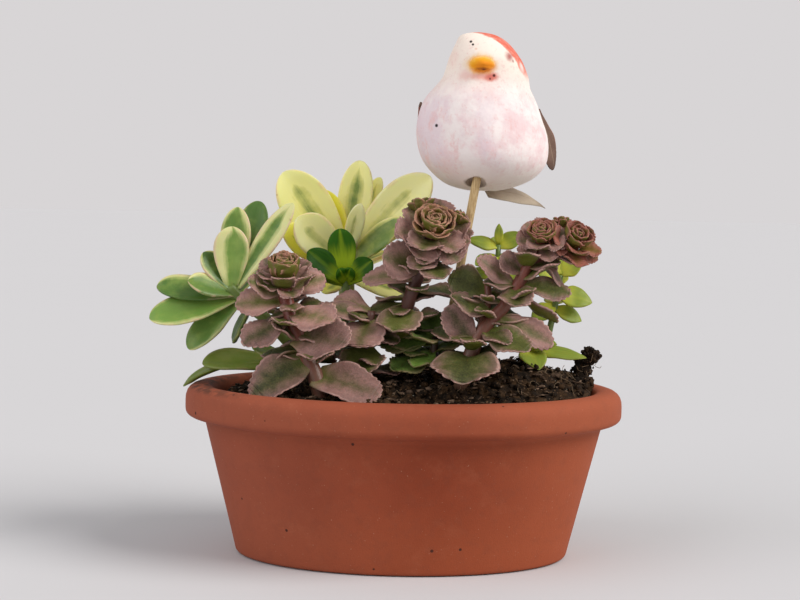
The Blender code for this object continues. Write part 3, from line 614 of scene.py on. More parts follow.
# A head's rings from the outside in: leaves, tilt off its axis, reach, width, foot out and up, how much paler
OPEN_RINGS = (
    (5, 98, 15.8, 15.0, 4.0, -2.8, 0.36),
    (6, 80, 15.2, 14.5, 4.0, -1.8, 0.28),
    (7, 60, 11.8, 11.0, 3.4, -0.4, 0.08),
    (7, 44, 10.2, 9.4, 2.8, 0.8, 0.02),
    (5, 31, 9.2, 7.8, 2.2, 2.2, -0.04),
    (5, 18, 8.4, 5.6, 1.3, 3.4, -0.08),
    (3, 7, 7.8, 4.0, 0.5, 4.4, -0.08),
)
SIDE_RINGS = (
    (5, 94, 15.8, 14.0, 4.2, -3.0, 0.25),
    (5, 74, 14.6, 13.5, 4.0, -1.6, 0.15),
    (5, 52, 12.4, 11.5, 3.4, -0.2, 0.04),
    (5, 34, 10.8, 8.6, 2.4, 1.4, 0.00),
    (4, 17, 9.4, 5.8, 1.2, 3.0, -0.06),
)
CUP_RINGS = (
    (5, 90, 14.6, 11.5, 4.2, -3.6, 0.20),
    (6, 70, 13.6, 11.0, 4.0, -2.2, 0.10),
    (7, 48, 12.4, 10.5, 3.8, -0.6, 0.04),
    (7, 38, 11.2, 9.0, 3.2, 0.8, 0.00),
    (6, 27, 10.2, 7.2, 2.4, 2.0, -0.04),
    (5, 16, 9.2, 5.2, 1.5, 3.0, -0.10),
    (3, 7, 8.0, 3.6, 0.6, 3.8, -0.10),
)
BUD_RINGS = (
    (6, 62, 13.0, 8.5, 3.0, -0.5, 0.00),
    (6, 38, 12.0, 7.0, 2.2, 1.0, -0.06),
    (4, 16, 10.0, 5.0, 1.2, 2.4, -0.10),
)
# A head: centre, heading and rise of its axis, scale, stretch along the axis, rings, how mauve, how pale
LEFT_HEAD = ((-49, -14, 113.5), 270, 66, 0.92, 1.2, CUP_RINGS, 0.45, 0.24)
CENTRE_HEAD = ((10.8, -10, 134), 278, 48, 1.06, 1.0, OPEN_RINGS, 0.60, 0.26)
CENTRE_BUDS = (
    ((6.0, -4, 141.5), 100, 62, 0.56, 1.0, BUD_RINGS, 0.95, 0.22),
    ((19.5, -6, 137.5), 20, 60, 0.52, 1.0, BUD_RINGS, 0.95, 0.22),
)
RIGHT_HEAD = ((54.5, -14, 132), 262, 50, 0.72, 1.1, OPEN_RINGS, 0.76, 0.24)
SIDE_HEAD = ((67.2, -12, 130), 302, 48, 0.80, 1.0, SIDE_RINGS, 0.80, 0.26)
SIDE_BUD = ((62.5, -8, 136), 80, 78, 0.46, 1.0, BUD_RINGS, 0.95, 0.30)
# A head more mauve than this wears its own finish, and one smaller than this is a bud
RED_TONE, BUD_SCALE = 0.78, 0.6
# How far each young leaf is turned from the one below it
YOUNG_LEAF_TURN = 137.5


def aim(heading, rise):
    turn, lift = math.radians(heading), math.radians(rise)
    return Vector((math.cos(turn) * math.cos(lift), math.sin(turn) * math.cos(lift), math.sin(lift)))


def new_plant():
    """An empty shape whose corners carry where on a leaf they lie, and the leaf's tone, shade and seed."""
    plant = bmesh.new()
    for lane in LANES:
        plant.verts.layers.float.new(lane)
    return plant


def leaf(plant, base, direction, face, length, width, curl, form, tone, shade, draw):
    """One fleshy leaf: a ball drawn out to the leaf's outline, cupped, curled and waved."""
    blade = new_plant()
    values = {lane: blade.verts.layers.float[lane] for lane in LANES}
    ahead = Vector(direction).normalized()
    up = (Vector(face) - ahead * Vector(face).dot(ahead)).normalized()
    over = ahead.cross(up)
    bend = math.radians(curl) or 1e-4
    seed = draw.random()
    phase = (draw.uniform(0, 6.3), draw.uniform(0, 6.3))
    bmesh.ops.create_uvsphere(blade, u_segments=form.round, v_segments=form.rings, radius=1.0)
    for corner in blade.verts:
        ring = 1 - math.acos(max(-1.0, min(1.0, corner.co.z))) / math.pi
        reach = max(1e-6, math.hypot(corner.co.x, corner.co.y))
        across, side = corner.co.x / reach, corner.co.y / reach
        if ring < TO_WIDEST:
            along = form.widest * ring / TO_WIDEST
            share = form.foot + (1 - form.foot) * math.sin(along / form.widest * math.pi / 2) ** 1.4
        else:
            turn = (ring - TO_WIDEST) / (1 - TO_WIDEST) * math.pi / 2
            uneven = 0.6 + 0.9 * abs(noise.noise(Vector((turn * 4, 31 * seed, math.copysign(2, across)))))
            scallop = 1 - abs(math.sin(form.teeth * 2 * turn + phase[0]))
            tooth = 1 - form.cut * uneven * scallop if form.teeth else 1.0
            along = form.widest + (1 - form.widest) * math.sin(turn) * tooth
            share = max(0.0, math.cos(turn)) ** (2 * form.tip) * tooth
        if reach < 1e-5:
            across = side = share = 0.0
        half = width / 2 * share
        turned = bend * along
        middle = (ahead * math.sin(turned) + up * (1 - math.cos(turned))) * length / bend
        lift = up * math.cos(turned) - ahead * math.sin(turned)
        wave = form.wave * half * across**2 * math.sin(7 * along + phase[across > 0])
        cup = form.cup * half * abs(across) ** 1.5
        thick = form.thick / 2 * (0.75 + 0.25 * math.sin(math.pi * along)) * min(1.0, share * 1.6)
        body = math.copysign(abs(side) ** 0.75, side) * thick
        groove = 0.22 * thick * math.exp(-((across / 0.16) ** 2)) * (side > 0) * (1 - along)
        lump = 0.34 * noise.noise(Vector((5 * along, 2.2 * across, 50 * seed)))
        point = Vector(base) + middle + over * across * half + lift * (cup + wave + body - groove + lump)
        corner.co = point * MM
        corner[values["along"]] = along
        corner[values["across"]] = across
        corner[values["under"]] = 0.5 - 0.5 * side
        corner[values["tone"]] = tone
        corner[values["shade"]] = shade
        corner[values["seed"]] = seed
    for flat in blade.faces:
        flat.material_index = form.skin
    join_to(plant, blade)


def place_on(path, height):
    """The point of the stem's line at this height."""
    for low, high in zip(path, path[1:]):
        if height <= high[2]:
            break
    return Vector(low).lerp(Vector(high), min(1.0, (height - low[2]) / (high[2] - low[2])))


def leaves_on(plant, path, rows, form, draw):
    for height, heading, rise, length, width, lean, curl, tone, shade in rows:
        turned = math.radians(lean)
        face = (0, -math.sin(turned), math.cos(turned))
        base = place_on(path, height)
        leaf(plant, base, aim(heading, rise), face, length, width, curl, form, tone, shade, draw)


def head_on(plant, centre, heading, rise, scale, stretch, rings, tone, shade, draw):
    """A ruffled head: rings of leaves round its axis, flat outside, then ever steeper, tightly lapped."""
    axis = aim(heading, rise)
    side = axis.cross(Vector((1, 0, 0))).normalized()
    other = axis.cross(side)
    core = [Vector(centre) + axis * along * scale for along in (-4, 0, 4)]
    stalk(plant, core, (4.4 * scale, 3.0 * scale), 12, 0, (0.8, 0.8))
    start = draw.uniform(0, 360)
    for number, (leaves, tilt, reach, width, out, up, paler) in enumerate(rings):
        for i in range(leaves):
            turn = math.radians(start + 360 * i / leaves + draw.uniform(-9, 9))
            away = side * math.cos(turn) + other * math.sin(turn)
            lean = math.radians(tilt + draw.uniform(-6, 6))
            far = reach * draw.uniform(0.90, 1.03)
            tip = (axis * math.cos(lean) * stretch + away * math.sin(lean)) * far
            foot = axis * up * stretch + away * out
            face = axis * math.sin(lean) - away * math.cos(lean)
            mauve = tone + (0.25 if number < 2 and tone < RED_TONE else 0.0)
            rim = min(1.0, max(0.0, mauve + draw.uniform(-0.25, 0.25)))
            lit = min(1.0, max(0.0, shade + paler + draw.uniform(-0.12, 0.15)))
            at = Vector(centre) + foot * scale
            broad = width * scale * draw.uniform(0.88, 1.08)
            curl = draw.uniform(8, 22) if number > 1 else draw.uniform(-14, 8)
            form = HEAD_LEAF if number > 1 or scale < BUD_SCALE else OUTER_LEAF
            if tone > RED_TONE:
                form = form._replace(skin=2)
            leaf(plant, at, tip - foot, face, (tip - foot).length * scale, broad, curl, form, rim, lit, draw)
        start += 180 / leaves + 20


def young_leaves(plant, path, low, high, count, long, tone, shade, draw):
    """Small leaves close to the stem between two heights, which fill the inside of the plant."""
    for i in range(count):
        base = place_on(path, low + (high - low) * (i + 0.5) / count)
        length = long * draw.uniform(0.75, 1.1)
        direction = aim(YOUNG_LEAF_TURN * i + draw.uniform(-20, 20), draw.uniform(-20, 30))
        rim = min(1.0, max(0.0, tone + draw.uniform(-0.3, 0.3)))
        lit = max(0.0, shade + draw.uniform(-0.15, 0.15))
        curl = draw.uniform(-12, 12)
        leaf(plant, base, direction, (0, -0.4, 1), length, length * 0.75, curl, SCALLOPED, rim, lit, draw)


def leaf_lanes():
    """Node group: the values that every leaf's colours and relief are made from."""
    group = bpy.data.node_groups.new("leaf_lanes", "ShaderNodeTree")
    for name in ("Blotch Scale", "Grain Scale"):
        group.interface.new_socket(name, in_out="INPUT", socket_type="NodeSocketFloat")
    given = group.nodes.new("NodeGroupInput").outputs
    read = {lane: place("Attribute", output="Fac", tree=group, attribute_name=lane) for lane in LANES}
    where = on_object(group)
    lane = place("CombineXYZ", {0: read["across"] * 4.0, 1: read["along"] * 0.9, 2: read["seed"] * 37.0})
    made = {name.capitalize(): read[name] for name in ("along", "under", "tone", "shade", "seed")}
    made["Side"] = read["across"]
    made["Middle"] = abs(read["across"])
    made["Streaks"] = cloud(lane, 1.7, 4, 0.6)
    made["Mottle"] = cloud(where, Value(given["Blotch Scale"]), 4, 0.6)
    made["Grain"] = cloud(where, Value(given["Grain Scale"]), 3, 0.6)
    for name in made:
        group.interface.new_socket(name, in_out="OUTPUT", socket_type="NodeSocketFloat")
    result = group.nodes.new("NodeGroupOutput")
    for name, value in made.items():
        group.links.new(value.socket, result.inputs[name])


def lanes_of(shader, blotch, grain):
    """A leaf's values by name, with the scale of its blotches and of its grain."""
    scales = {"Blotch Scale": blotch, "Grain Scale": grain}
    group = place("Group", scales, tree=shader.id_data, node_tree=bpy.data.node_groups["leaf_lanes"])
    return {output.name: Value(output) for output in group.socket.node.outputs}


leaf_lanes()


def stonecrop_finish(name, green, mauve, rim_colour, rim_low):
    """Mauve over olive green, greener at foot and middle; thin pale ragged rim, partly painted highlight."""
    finish, shader = plain_finish(
        name, Roughness=0.50, Specular_IOR_Level=0.34, Subsurface_Weight=0.06, Subsurface_Scale=0.002
    )
    lane = lanes_of(shader, 260, 1500)
    spread = lane["Mottle"] * 0.85 + (lane["Middle"] * 0.8 - 0.9)
    spread = spread + lane["Along"] * 0.34
    amount = ease(spread + lane["Tone"], 0.2, 1.15)
    skin = blend(amount, green, mauve)
    pale = lane["Shade"] * 1.45 + (lane["Middle"] * 0.56 - 0.72)
    pale = lane["Mottle"] * 1.2 + (lane["Grain"] * 1.3 + pale)
    level = place("CombineColor", {0: pale, 1: pale, 2: pale})
    skin = blend(1.0, skin, level, "MULTIPLY")
    # Partly the dusty bloom and partly a painted sheen: pale mauve laid towards the margins of paler leaves.
    dust_and_sheen = ease(lane["Mottle"], 0.44, 0.66) * (lane["Shade"] * 0.65)
    dust_and_sheen = dust_and_sheen * ease(lane["Middle"], 0.2, 0.95)
    skin = blend(dust_and_sheen, skin, [c * 1.6 + 0.07 for c in mauve])
    underside = ease(lane["Under"], 0.55, 0.85) * ease(lane["Middle"], 1.2, 0.6)
    skin = blend(underside * 0.8, skin, (0.125, 0.14, 0.014))
    foot = ease(lane["Along"], 0.3, 0.02) * 0.6
    skin = blend(foot, skin, (0.13, 0.15, 0.02))
    ragged = lane["Mottle"] * 0.16 + (lane["Middle"] - 0.05)
    flush = ease(ragged, rim_low - 0.3, rim_low - 0.04) * ease(lane["Along"], 0.15, 0.6)
    skin = blend(flush * 0.45, skin, [c * 0.8 for c in mauve])
    # The thin pale rim is partly the leaf's pink margin and partly a painted highlight on its rounded edge.
    rim = ease(ragged, rim_low, rim_low + 0.1) * ease(lane["Along"], 0.18, 0.5)
    tip = ease(lane["Along"], 0.955, 0.995)
    rim = calc("MAXIMUM", rim, tip) * (lane["Grain"] * 0.7 + 0.3)
    skin = blend(rim, skin, rim_colour)
    relief = lane["Mottle"] * 2.0 + (lane["Streaks"] * 0.5 + lane["Grain"])
    rough = lane["Mottle"] * 0.25 + 0.42
    feed(shader, Base_Color=skin, Roughness=rough, Normal=bumps(relief, 0.5, 0.00035))
    return finish


def stem_finish(name, low, high):
    """Fleshy stem: one colour at the foot, another at the top, streaked, with a soft shine."""
    finish, shader = plain_finish(name, Roughness=0.42, Specular_IOR_Level=0.45)
    tone = place("Attribute", output="Fac", tree=shader.id_data, attribute_name="tone")
    where = on_object(shader)
    streaks = cloud(stretched(where, (1, 1, 0.22)), 900, 4)
    share = tone + (streaks * 0.8 - 0.4)
    skin = blend(ease(share, 0.0, 1.0), low, high)
    skin = blend(ease(cloud(where, 260, 3), 0.55, 0.75), skin, [c * 0.55 for c in high])
    feed(shader, Base_Color=skin, Normal=bumps(streaks, 0.4, 0.0005))
    return finish


purple_leaf = stonecrop_finish(
    "purple_stonecrop_leaf", (0.078, 0.086, 0.017), (0.202, 0.108, 0.092), (0.54, 0.330, 0.285), 0.90
)
green_leaf = stonecrop_finish(
    "green_stonecrop_leaf", (0.080, 0.135, 0.022), (0.155, 0.100, 0.055), (0.27, 0.22, 0.10), 0.94
)
head_leaf = stonecrop_finish(
    "stonecrop_head_leaf", (0.145, 0.108, 0.018), (0.260, 0.118, 0.078), (0.52, 0.290, 0.180), 0.86
)
red_head_leaf = stonecrop_finish(
    "red_stonecrop_head_leaf", (0.130, 0.082, 0.007), (0.208, 0.066, 0.046), (0.42, 0.185, 0.135), 0.88
)
red_stem = stem_finish("red_stem", (0.125, 0.068, 0.040), (0.215, 0.050, 0.036))
dark_stem = stem_finish("dark_red_stem", (0.075, 0.045, 0.028), (0.125, 0.042, 0.034))

draw = random.Random(21)
plant = new_plant()
stalk(plant, LEFT_STEM, (3.4, 2.8), 16, 0, (0.1, 1.0), 0.06)
leaves_on(plant, LEFT_STEM, LEFT_LEAVES, SCALLOPED, draw)
leaves_on(plant, LEFT_STEM, LEFT_BROAD_LEAVES, BROAD, draw)
young_leaves(plant, LEFT_STEM, 80, 106, 12, 14, 0.35, 0.25, draw)
head_on(plant, *LEFT_HEAD, draw)
left_stonecrop = piece_from("left_stonecrop", plant, red_stem, purple_leaf, head_leaf)
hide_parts("purple_stem_left")

plant = new_plant()
stalk(plant, CENTRE_STEM, (3.2, 2.5), 16, 0, (0.3, 0.9), 0.06)
leaves_on(plant, CENTRE_STEM, CENTRE_LEAVES, SCALLOPED, draw)
young_leaves(plant, CENTRE_STEM, 80, 126, 16, 15, 0.35, 0.20, draw)
head_on(plant, *CENTRE_HEAD, draw)
for bud in CENTRE_BUDS:
    head_on(plant, *bud, draw)
centre_stonecrop = piece_from("centre_stonecrop", plant, dark_stem, purple_leaf, head_leaf)
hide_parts("purple_stem_centre")

plant = new_plant()
stalk(plant, RIGHT_STEM, (3.4, 2.2), 16, 0, (0.1, 0.8), 0.07)
leaves_on(plant, RIGHT_STEM, RIGHT_LEAVES, SCALLOPED, draw)
young_leaves(plant, RIGHT_STEM, 80, 124, 17, 14, 0.35, 0.22, draw)
head_on(plant, *RIGHT_HEAD, draw)
stalk(plant, SIDE_STEM, (1.8, 1.8), 12, 0, (0.7, 0.8))
leaves_on(plant, SIDE_STEM, SIDE_LEAVES, SCALLOPED, draw)
head_on(plant, *SIDE_HEAD, draw)
head_on(plant, *SIDE_BUD, draw)
stalk(plant, LEFT_BRANCH, (2.0, 1.5), 12, 0, (0.4, 0.5))
leaves_on(plant, LEFT_BRANCH, LEFT_BRANCH_LEAVES, SCALLOPED, draw)
young_leaves(plant, LEFT_BRANCH, 96, 112, 4, 9, 0.30, 0.20, draw)
right_stonecrop = piece_from("right_stonecrop", plant, red_stem, purple_leaf, red_head_leaf)
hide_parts("purple_stem_right")

plant = new_plant()
stalk(plant, MIDDLE_STEM, (2.4, 1.8), 12, 0, (0.2, 0.6))
leaves_on(plant, MIDDLE_STEM, MIDDLE_LEAVES, SCALLOPED, draw)
young_leaves(plant, MIDDLE_STEM, 76, 102, 10, 14, 0.35, 0.28, draw)
middle_stonecrop = piece_from("middle_stonecrop", plant, dark_stem, purple_leaf)
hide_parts("purple_shoot_middle")

plant = new_plant()
stalk(plant, FOOT_STEM, (2.2, 1.6), 12, 0, (0.2, 0.2))
leaves_on(plant, FOOT_STEM, FOOT_LEAVES, SCALLOPED, draw)
young_leaves(plant, FOOT_STEM, 76, 92, 10, 17, 0.10, 0.15, draw)
foot_stonecrop = piece_from("foot_stonecrop", plant, dark_stem, green_leaf)
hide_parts("low_shoot_centre")

for piece in (left_stonecrop, centre_stonecrop, right_stonecrop, middle_stonecrop, foot_stonecrop):
    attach(piece, "root")

# Variegated rosette and the long leaves under it
# A rosette of smooth thick leaves, blue-green down the middle with cream edges, that leans out over the
# left rim, and below it long plain green leaves, one of which lies over the rim. In these rows the last
# two values are how much of the leaf is cream, and how pale its green is.
ROSETTE_STEM = ((-38, 8, 60), (-40, 8, 72), (-47, 8, 84), (-58, 3, 96), (-68, 1, 104), (-73, 0, 109))
ROSETTE_LEAVES = (
    (108, 95, 82, 26, 15, 92, 8, 0.48, 1.00),
    (108, 84, 67, 35, 13, 80, 20, 0.30, 0.55),
    (107, 58, 66, 41, 14, 75, 0, 0.00, 0.15),
    (107, 8, 57, 44, 10, 60, 0, 0.60, 0.45),
    (107, 160, 46, 21, 11, 40, 10, 0.22, 0.10),
    (106, 195, 12, 21, 12, 45, 10, 0.22, 0.45),
    (106, 178, 3, 33, 13, 50, 5, 0.10, 0.30),
    (105, 188, -18, 37.6, 15, 52, 12, 0.16, 1.00),
    (104, 192, -41, 30, 12, 50, -10, 0.08, 0.60),
    (101, 150, -62, 18, 9, 20, 0, 0.06, 0.25),
    (106, 75, 25, 27, 13, 0, 5, 0.25, 0.40),
    (105, 120, 10, 27, 12, 0, 5, 0.25, 0.40),
)
LOW_STEM = ((-45, -4, 60), (-46, -4, 70), (-48, -4, 77))
LOW_LEAVES = (
    (76, 184, 12, 36, 13, 38, -24, 0.10, 0.75),
    (76.5, 180, 16, 48, 8, 20, -60, 0.00, 0.70),
    (76, 150, 30, 20, 9, 20, -10, 0.10, 0.30),
)
SPOON = Form(0.36, 0.64, 0.55, 2.5, 0.26, 0, 0.0, 0.05, 18, 28)


def variegated_finish(name, greens, creams, blush, cream_first):
    """Green down the middle and cream at the sides, parted by ragged streaks along the leaf."""
    glow = {"Subsurface_Weight": 0.12}
    if cream_first:
        glow = {"Subsurface_Weight": 0.8, "Subsurface_Radius": (1.0, 0.95, 0.5)}
    finish, shader = plain_finish(
        name, Roughness=0.42, Specular_IOR_Level=0.45, Subsurface_Scale=0.003, **glow
    )
    lane = lanes_of(shader, 120, 2000)
    shift = lane["Seed"] * 0.5 - 0.25
    from_middle = abs(lane["Side"] + shift)
    ragged = lane["Mottle"] * 0.45 + (lane["Streaks"] * 0.4 - 0.42)
    green_reach = lane["Tone"] * -1.15 + 1.12
    edge = from_middle - green_reach + ragged
    to_tip = ease(lane["Along"], 0.72, 1.0) * (lane["Tone"] * 0.9)
    edge = edge + to_tip
    if cream_first:
        edge = edge + ease(lane["Along"], 0.35, 0.05) * 0.5
    cream_share = ease(edge, -0.3 if cream_first else -0.2, 0.22 if cream_first else 0.16)
    green = blend(lane["Shade"], greens[0], greens[1])
    pale = ease(lane["Mottle"], 0.38, 0.68) * 0.45 + lane["Streaks"] * 0.18
    green = blend(pale, green, greens[2])
    cream = blend(lane["Shade"] if cream_first else lane["Mottle"], creams[0], creams[1])
    skin = blend(cream_share, green, cream)
    half_tone = ease(abs(edge), 0.22, 0.05) * 0.35
    skin = blend(half_tone, skin, greens[2])
    foot = ease(lane["Along"], 0.26, 0.0) * (0.35 if cream_first else 0.7)
    skin = blend(foot, skin, greens[2])
    rim = ease(lane["Middle"], 0.76, 0.99) * ease(lane["Tone"], 0.02, 0.2)
    rim = rim * ease(lane["Mottle"], 0.4, 0.62)
    skin = blend(rim * 0.7, skin, blush)
    worn = ease(lane["Mottle"], 0.7, 0.76) * ease(lane["Middle"], 0.3, 0.9)
    skin = blend(worn * 0.6, skin, (0.24, 0.11, 0.045))
    relief = lane["Streaks"] * 1.2 + lane["Grain"] * 0.6
    rough = lane["Mottle"] * 0.2 + 0.32
    feed(shader, Base_Color=skin, Roughness=rough, Normal=bumps(relief, 0.2, 0.0003))
    return finish


variegated = variegated_finish(
    "variegated_leaf",
    ((0.028, 0.098, 0.012), (0.150, 0.280, 0.046), (0.290, 0.390, 0.080)),
    ((0.74, 0.71, 0.38), (0.60, 0.62, 0.22)), (0.76, 0.50, 0.40), False,
)
plain_leaf = variegated_finish(
    "plain_green_leaf",
    ((0.046, 0.088, 0.010), (0.180, 0.250, 0.022), (0.240, 0.260, 0.055)),
    ((0.34, 0.38, 0.10), (0.30, 0.35, 0.08)), (0.42, 0.26, 0.14), False,
)
green_stem = stem_finish("green_stem", (0.15, 0.16, 0.035), (0.15, 0.22, 0.05))

draw = random.Random(31)
plant = new_plant()
stalk(plant, ROSETTE_STEM, (2.6, 2.6), 14, 0, (0.0, 1.0))
leaves_on(plant, ROSETTE_STEM, ROSETTE_LEAVES, SPOON, draw)
left_rosette = piece_from("left_rosette", plant, green_stem, variegated)
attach(left_rosette, "root")
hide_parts("variegated_rosette_left")

plant = new_plant()
stalk(plant, LOW_STEM, (2.2, 1.9), 12, 0, (0.2, 0.6))
leaves_on(plant, LOW_STEM, LOW_LEAVES, SPOON, draw)
rim_leaves = piece_from("leaves_over_rim", plant, green_stem, plain_leaf)
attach(rim_leaves, "root")
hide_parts("low_shoot_left")

# Cream rosette at the back
# A large rosette on a thick stem behind, cream to bright yellow, each leaf with a green streak down its
# middle and a faint blush on its rim. The last two values of a row: how much is cream, and how yellow.
CREAM_STEM = ((-24, 27, 60), (-24, 27, 72), (-25, 28, 98), (-26, 28, 120))
CREAM_LEAVES = (
    (119, 184, 54, 47, 22, 80, 5, 0.80, 0.30),
    (121, 165, 68, 32, 14, 78, 5, 1.00, 1.00),
    (121, 56, 77, 44, 15, 90, 0, 0.68, 0.25),
    (120, 45, 61, 41, 9, 60, 0, 0.70, 0.30),
    (119, -2, 45, 52, 21, 62, 8, 0.92, 0.15),
    (117, -14, 38, 33, 12, 50, 8, 0.12, 0.30),
    (119, 197, 36, 31, 18, 70, 25, 0.85, 0.10),
    (117, 187, 26, 33, 15, 60, 20, 0.82, 0.85),
    (120, -50, 68, 27, 8, 85, 10, 0.95, 0.05),
    (114, -12, -24, 27, 13, 35, 15, 0.80, 0.40),
    (112, 20, -20, 26, 12, 20, 10, 0.75, 0.40),
    (113, 215, -35, 14, 10, 30, 10, 0.75, 0.70),
    (118, 110, 40, 36, 16, 0, 12, 0.75, 0.40),
    (118, 70, 28, 34, 15, 0, 10, 0.75, 0.30),
    (116, 140, 18, 33, 14, 0, 10, 0.75, 0.30),
    (116, 35, 12, 28, 13, 0, 8, 0.75, 0.40),
    (115, 95, 2, 30, 14, 0, 8, 0.70, 0.30),
)
cream_leaf = variegated_finish(
    "cream_leaf",
    ((0.110, 0.220, 0.040), (0.240, 0.360, 0.060), (0.600, 0.640, 0.160)),
    ((0.97, 0.92, 0.50), (0.99, 0.88, 0.085)), (0.84, 0.50, 0.34), True,
)
pale_stem = stem_finish("pale_stem", (0.22, 0.20, 0.07), (0.46, 0.48, 0.14))

draw = random.Random(41)
plant = new_plant()
stalk(plant, CREAM_STEM, (3.2, 3.6), 14, 0, (0.0, 1.0))
leaves_on(plant, CREAM_STEM, CREAM_LEAVES, SPOON, draw)
back_rosette = piece_from("back_rosette", plant, pale_stem, cream_leaf)
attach(back_rosette, "root")
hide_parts("cream_rosette_back")

# Small dark green rosette
# A young rosette in front of the cream one: glossy dark green leaves, yellow-green at their feet and along
# the middle. Rows end with how yellow the foot is, and how pale.
SMALL_STEM = ((-25, 5, 60), (-25, 5, 72), (-25, 6, 95), (-25, 7, 113))
SMALL_LEAVES = (
    (112, 150, 81, 22, 12, 90, 0, 0.85, 0.60),
    (111, 186, 38, 21, 11, 60, 8, 0.30, 0.20),
    (111, -12, 40, 15, 10, 60, 5, 0.65, 0.50),
    (111, -60, 55, 9, 6, 70, 20, 0.90, 0.70),
    (111, -125, 50, 9, 6, 70, 20, 0.90, 0.70),
    (110, 168, 20, 18, 9, 30, 5, 0.20, 0.20),
    (110, 100, 30, 15, 10, 20, 8, 0.40, 0.30),
    (110, 40, 32, 15, 9, 20, 8, 0.40, 0.30),
)


def gradient_finish(name, dark, light, foot_colour, rim_colour, **gloss):
    """Green leaf, lighter down the middle and yellow-green at its foot."""
    finish, shader = plain_finish(name, Subsurface_Weight=0.1, Subsurface_Scale=0.002, **gloss)
    lane = lanes_of(shader, 150, 2200)
    skin = blend(lane["Shade"], dark, light)
    skin = blend(ease(lane["Streaks"], 0.4, 0.68) * 0.45, skin, light)
    rib = ease(lane["Middle"], 0.28, 0.0) * (lane["Tone"] * 0.6)
    skin = blend(rib, skin, foot_colour)
    reach = lane["Tone"] * 0.38 + 0.24
    sunk = lane["Streaks"] * 0.3 + lane["Along"] - reach
    skin = blend(ease(sunk, 0.35, -0.05), skin, foot_colour)
    rim = ease(lane["Middle"], 0.9, 0.99) * 0.5
    skin = blend(rim, skin, rim_colour)
    relief = lane["Streaks"] * 1.2 + lane["Grain"] * 0.6
    feed(shader, Base_Color=skin, Normal=bumps(relief, 0.2, 0.0003))
    return finish


dark_leaf = gradient_finish(
    "dark_green_leaf", (0.010, 0.048, 0.002), (0.032, 0.125, 0.003),
    (0.270, 0.380, 0.012), (0.060, 0.140, 0.008),
    Roughness=0.5, Specular_IOR_Level=0.12,
)
draw = random.Random(51)
plant = new_plant()
stalk(plant, SMALL_STEM, (2.0, 1.8), 12, 0, (0.2, 0.8))
leaves_on(plant, SMALL_STEM, SMALL_LEAVES, SPOON, draw)
small_rosette = piece_from("small_rosette", plant, green_stem, dark_leaf)
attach(small_rosette, "root")
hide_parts("green_rosette_small")

# Green shoots at the back right
# Three thin shoots with pointed yellow-green leaves, behind the purple stems. Rows end with how yellow the
# leaf's middle is, and how pale.
BACK_SHOOTS = (
    ("middle_shoot", "green_shoot_middle", ((36, 17, 60), (37, 17, 72), (38, 18, 104), (39, 18, 128)), (
        (127, 180, 10, 14, 7.5, 45, 10, 0.25, 0.40),
        (127, 10, 26, 12, 9, 50, 10, 0.30, 0.45),
        (123, 215, -20, 13, 9, 40, 10, 0.40, 0.50),
        (123, -30, -5, 10, 7, 40, 10, 0.30, 0.40),
        (126, 90, 25, 11, 8, 0, 10, 0.40, 0.50),
        (116, 0, -5, 15, 8, 40, 5, 0.30, 0.40),
        (116, 180, -5, 13, 8, 40, 5, 0.30, 0.40),
        (110, 90, 10, 13, 8, 0, 5, 0.30, 0.40),
        (128, 90, 86, 9, 4, 90, 0, 0.60, 0.50),
    )),
    ("right_shoot", "green_shoot_right", (
        (56, 14, 60), (57, 14, 72), (61, 14, 92), (64, 13, 108), (65, 12, 116),
    ), (
        (108, -5, -12, 15, 11, 50, -5, 0.40, 0.70),
        (115, 190, 10, 11, 8, 50, 5, 0.90, 0.95),
        (116, 10, 35, 11, 9, 50, 5, 0.60, 0.80),
        (103, 195, -30, 12, 9, 50, 5, 0.30, 0.80),
        (102, 5, -25, 13, 8, 50, 0, 0.30, 0.60),
        (112, 90, 20, 12, 9, 0, 5, 0.40, 0.60),
        (104, 90, 0, 13, 9, 0, 5, 0.40, 0.60),
        (116, 120, 60, 10, 7, 40, 5, 0.60, 0.90),
    )),
    ("low_shoot", "green_shoot_low", ((47, 4, 60), (48, 3, 72), (49.5, 2, 82), (52, 1, 89)), (
        (85, -8, -4, 25, 8, 35, -4, 0.20, 0.55),
        (87, -30, 5, 13, 8, 40, 0, 0.20, 0.50),
        (86, -75, -28, 16, 12, 20, 0, 0.30, 0.60),
        (86, 100, 20, 13, 8, 0, 5, 0.30, 0.50),
        (88, 150, 45, 9, 6, 30, 5, 0.40, 0.50),
    )),
)
POINTED = Form(0.34, 0.42, 0.80, 1.8, 0.16, 0, 0.0, 0.05, 14, 22)
fresh_leaf = gradient_finish(
    "fresh_green_leaf", (0.115, 0.165, 0.020), (0.310, 0.390, 0.045),
    (0.470, 0.490, 0.045), (0.360, 0.340, 0.080),
    Roughness=0.45, Specular_IOR_Level=0.3,
)
draw = random.Random(61)
for name, node, path, rows in BACK_SHOOTS:
    plant = new_plant()
    stalk(plant, path, (1.7, 1.1), 10, 0, (0.3, 1.0))
    leaves_on(plant, path, rows, POINTED, draw)
    shoot = piece_from(name, plant, green_stem, fresh_leaf)
    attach(shoot, "root")
    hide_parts(node)

# Bird
# A light moulded foam body and head in one piece, painted white and mottled pink and lilac, with a coral
# crown, an orange beak and small dark eyes. It is pushed on the stick through a recess underneath.
BIRD_BASE, BIRD_TOP = 150.7, 64.9
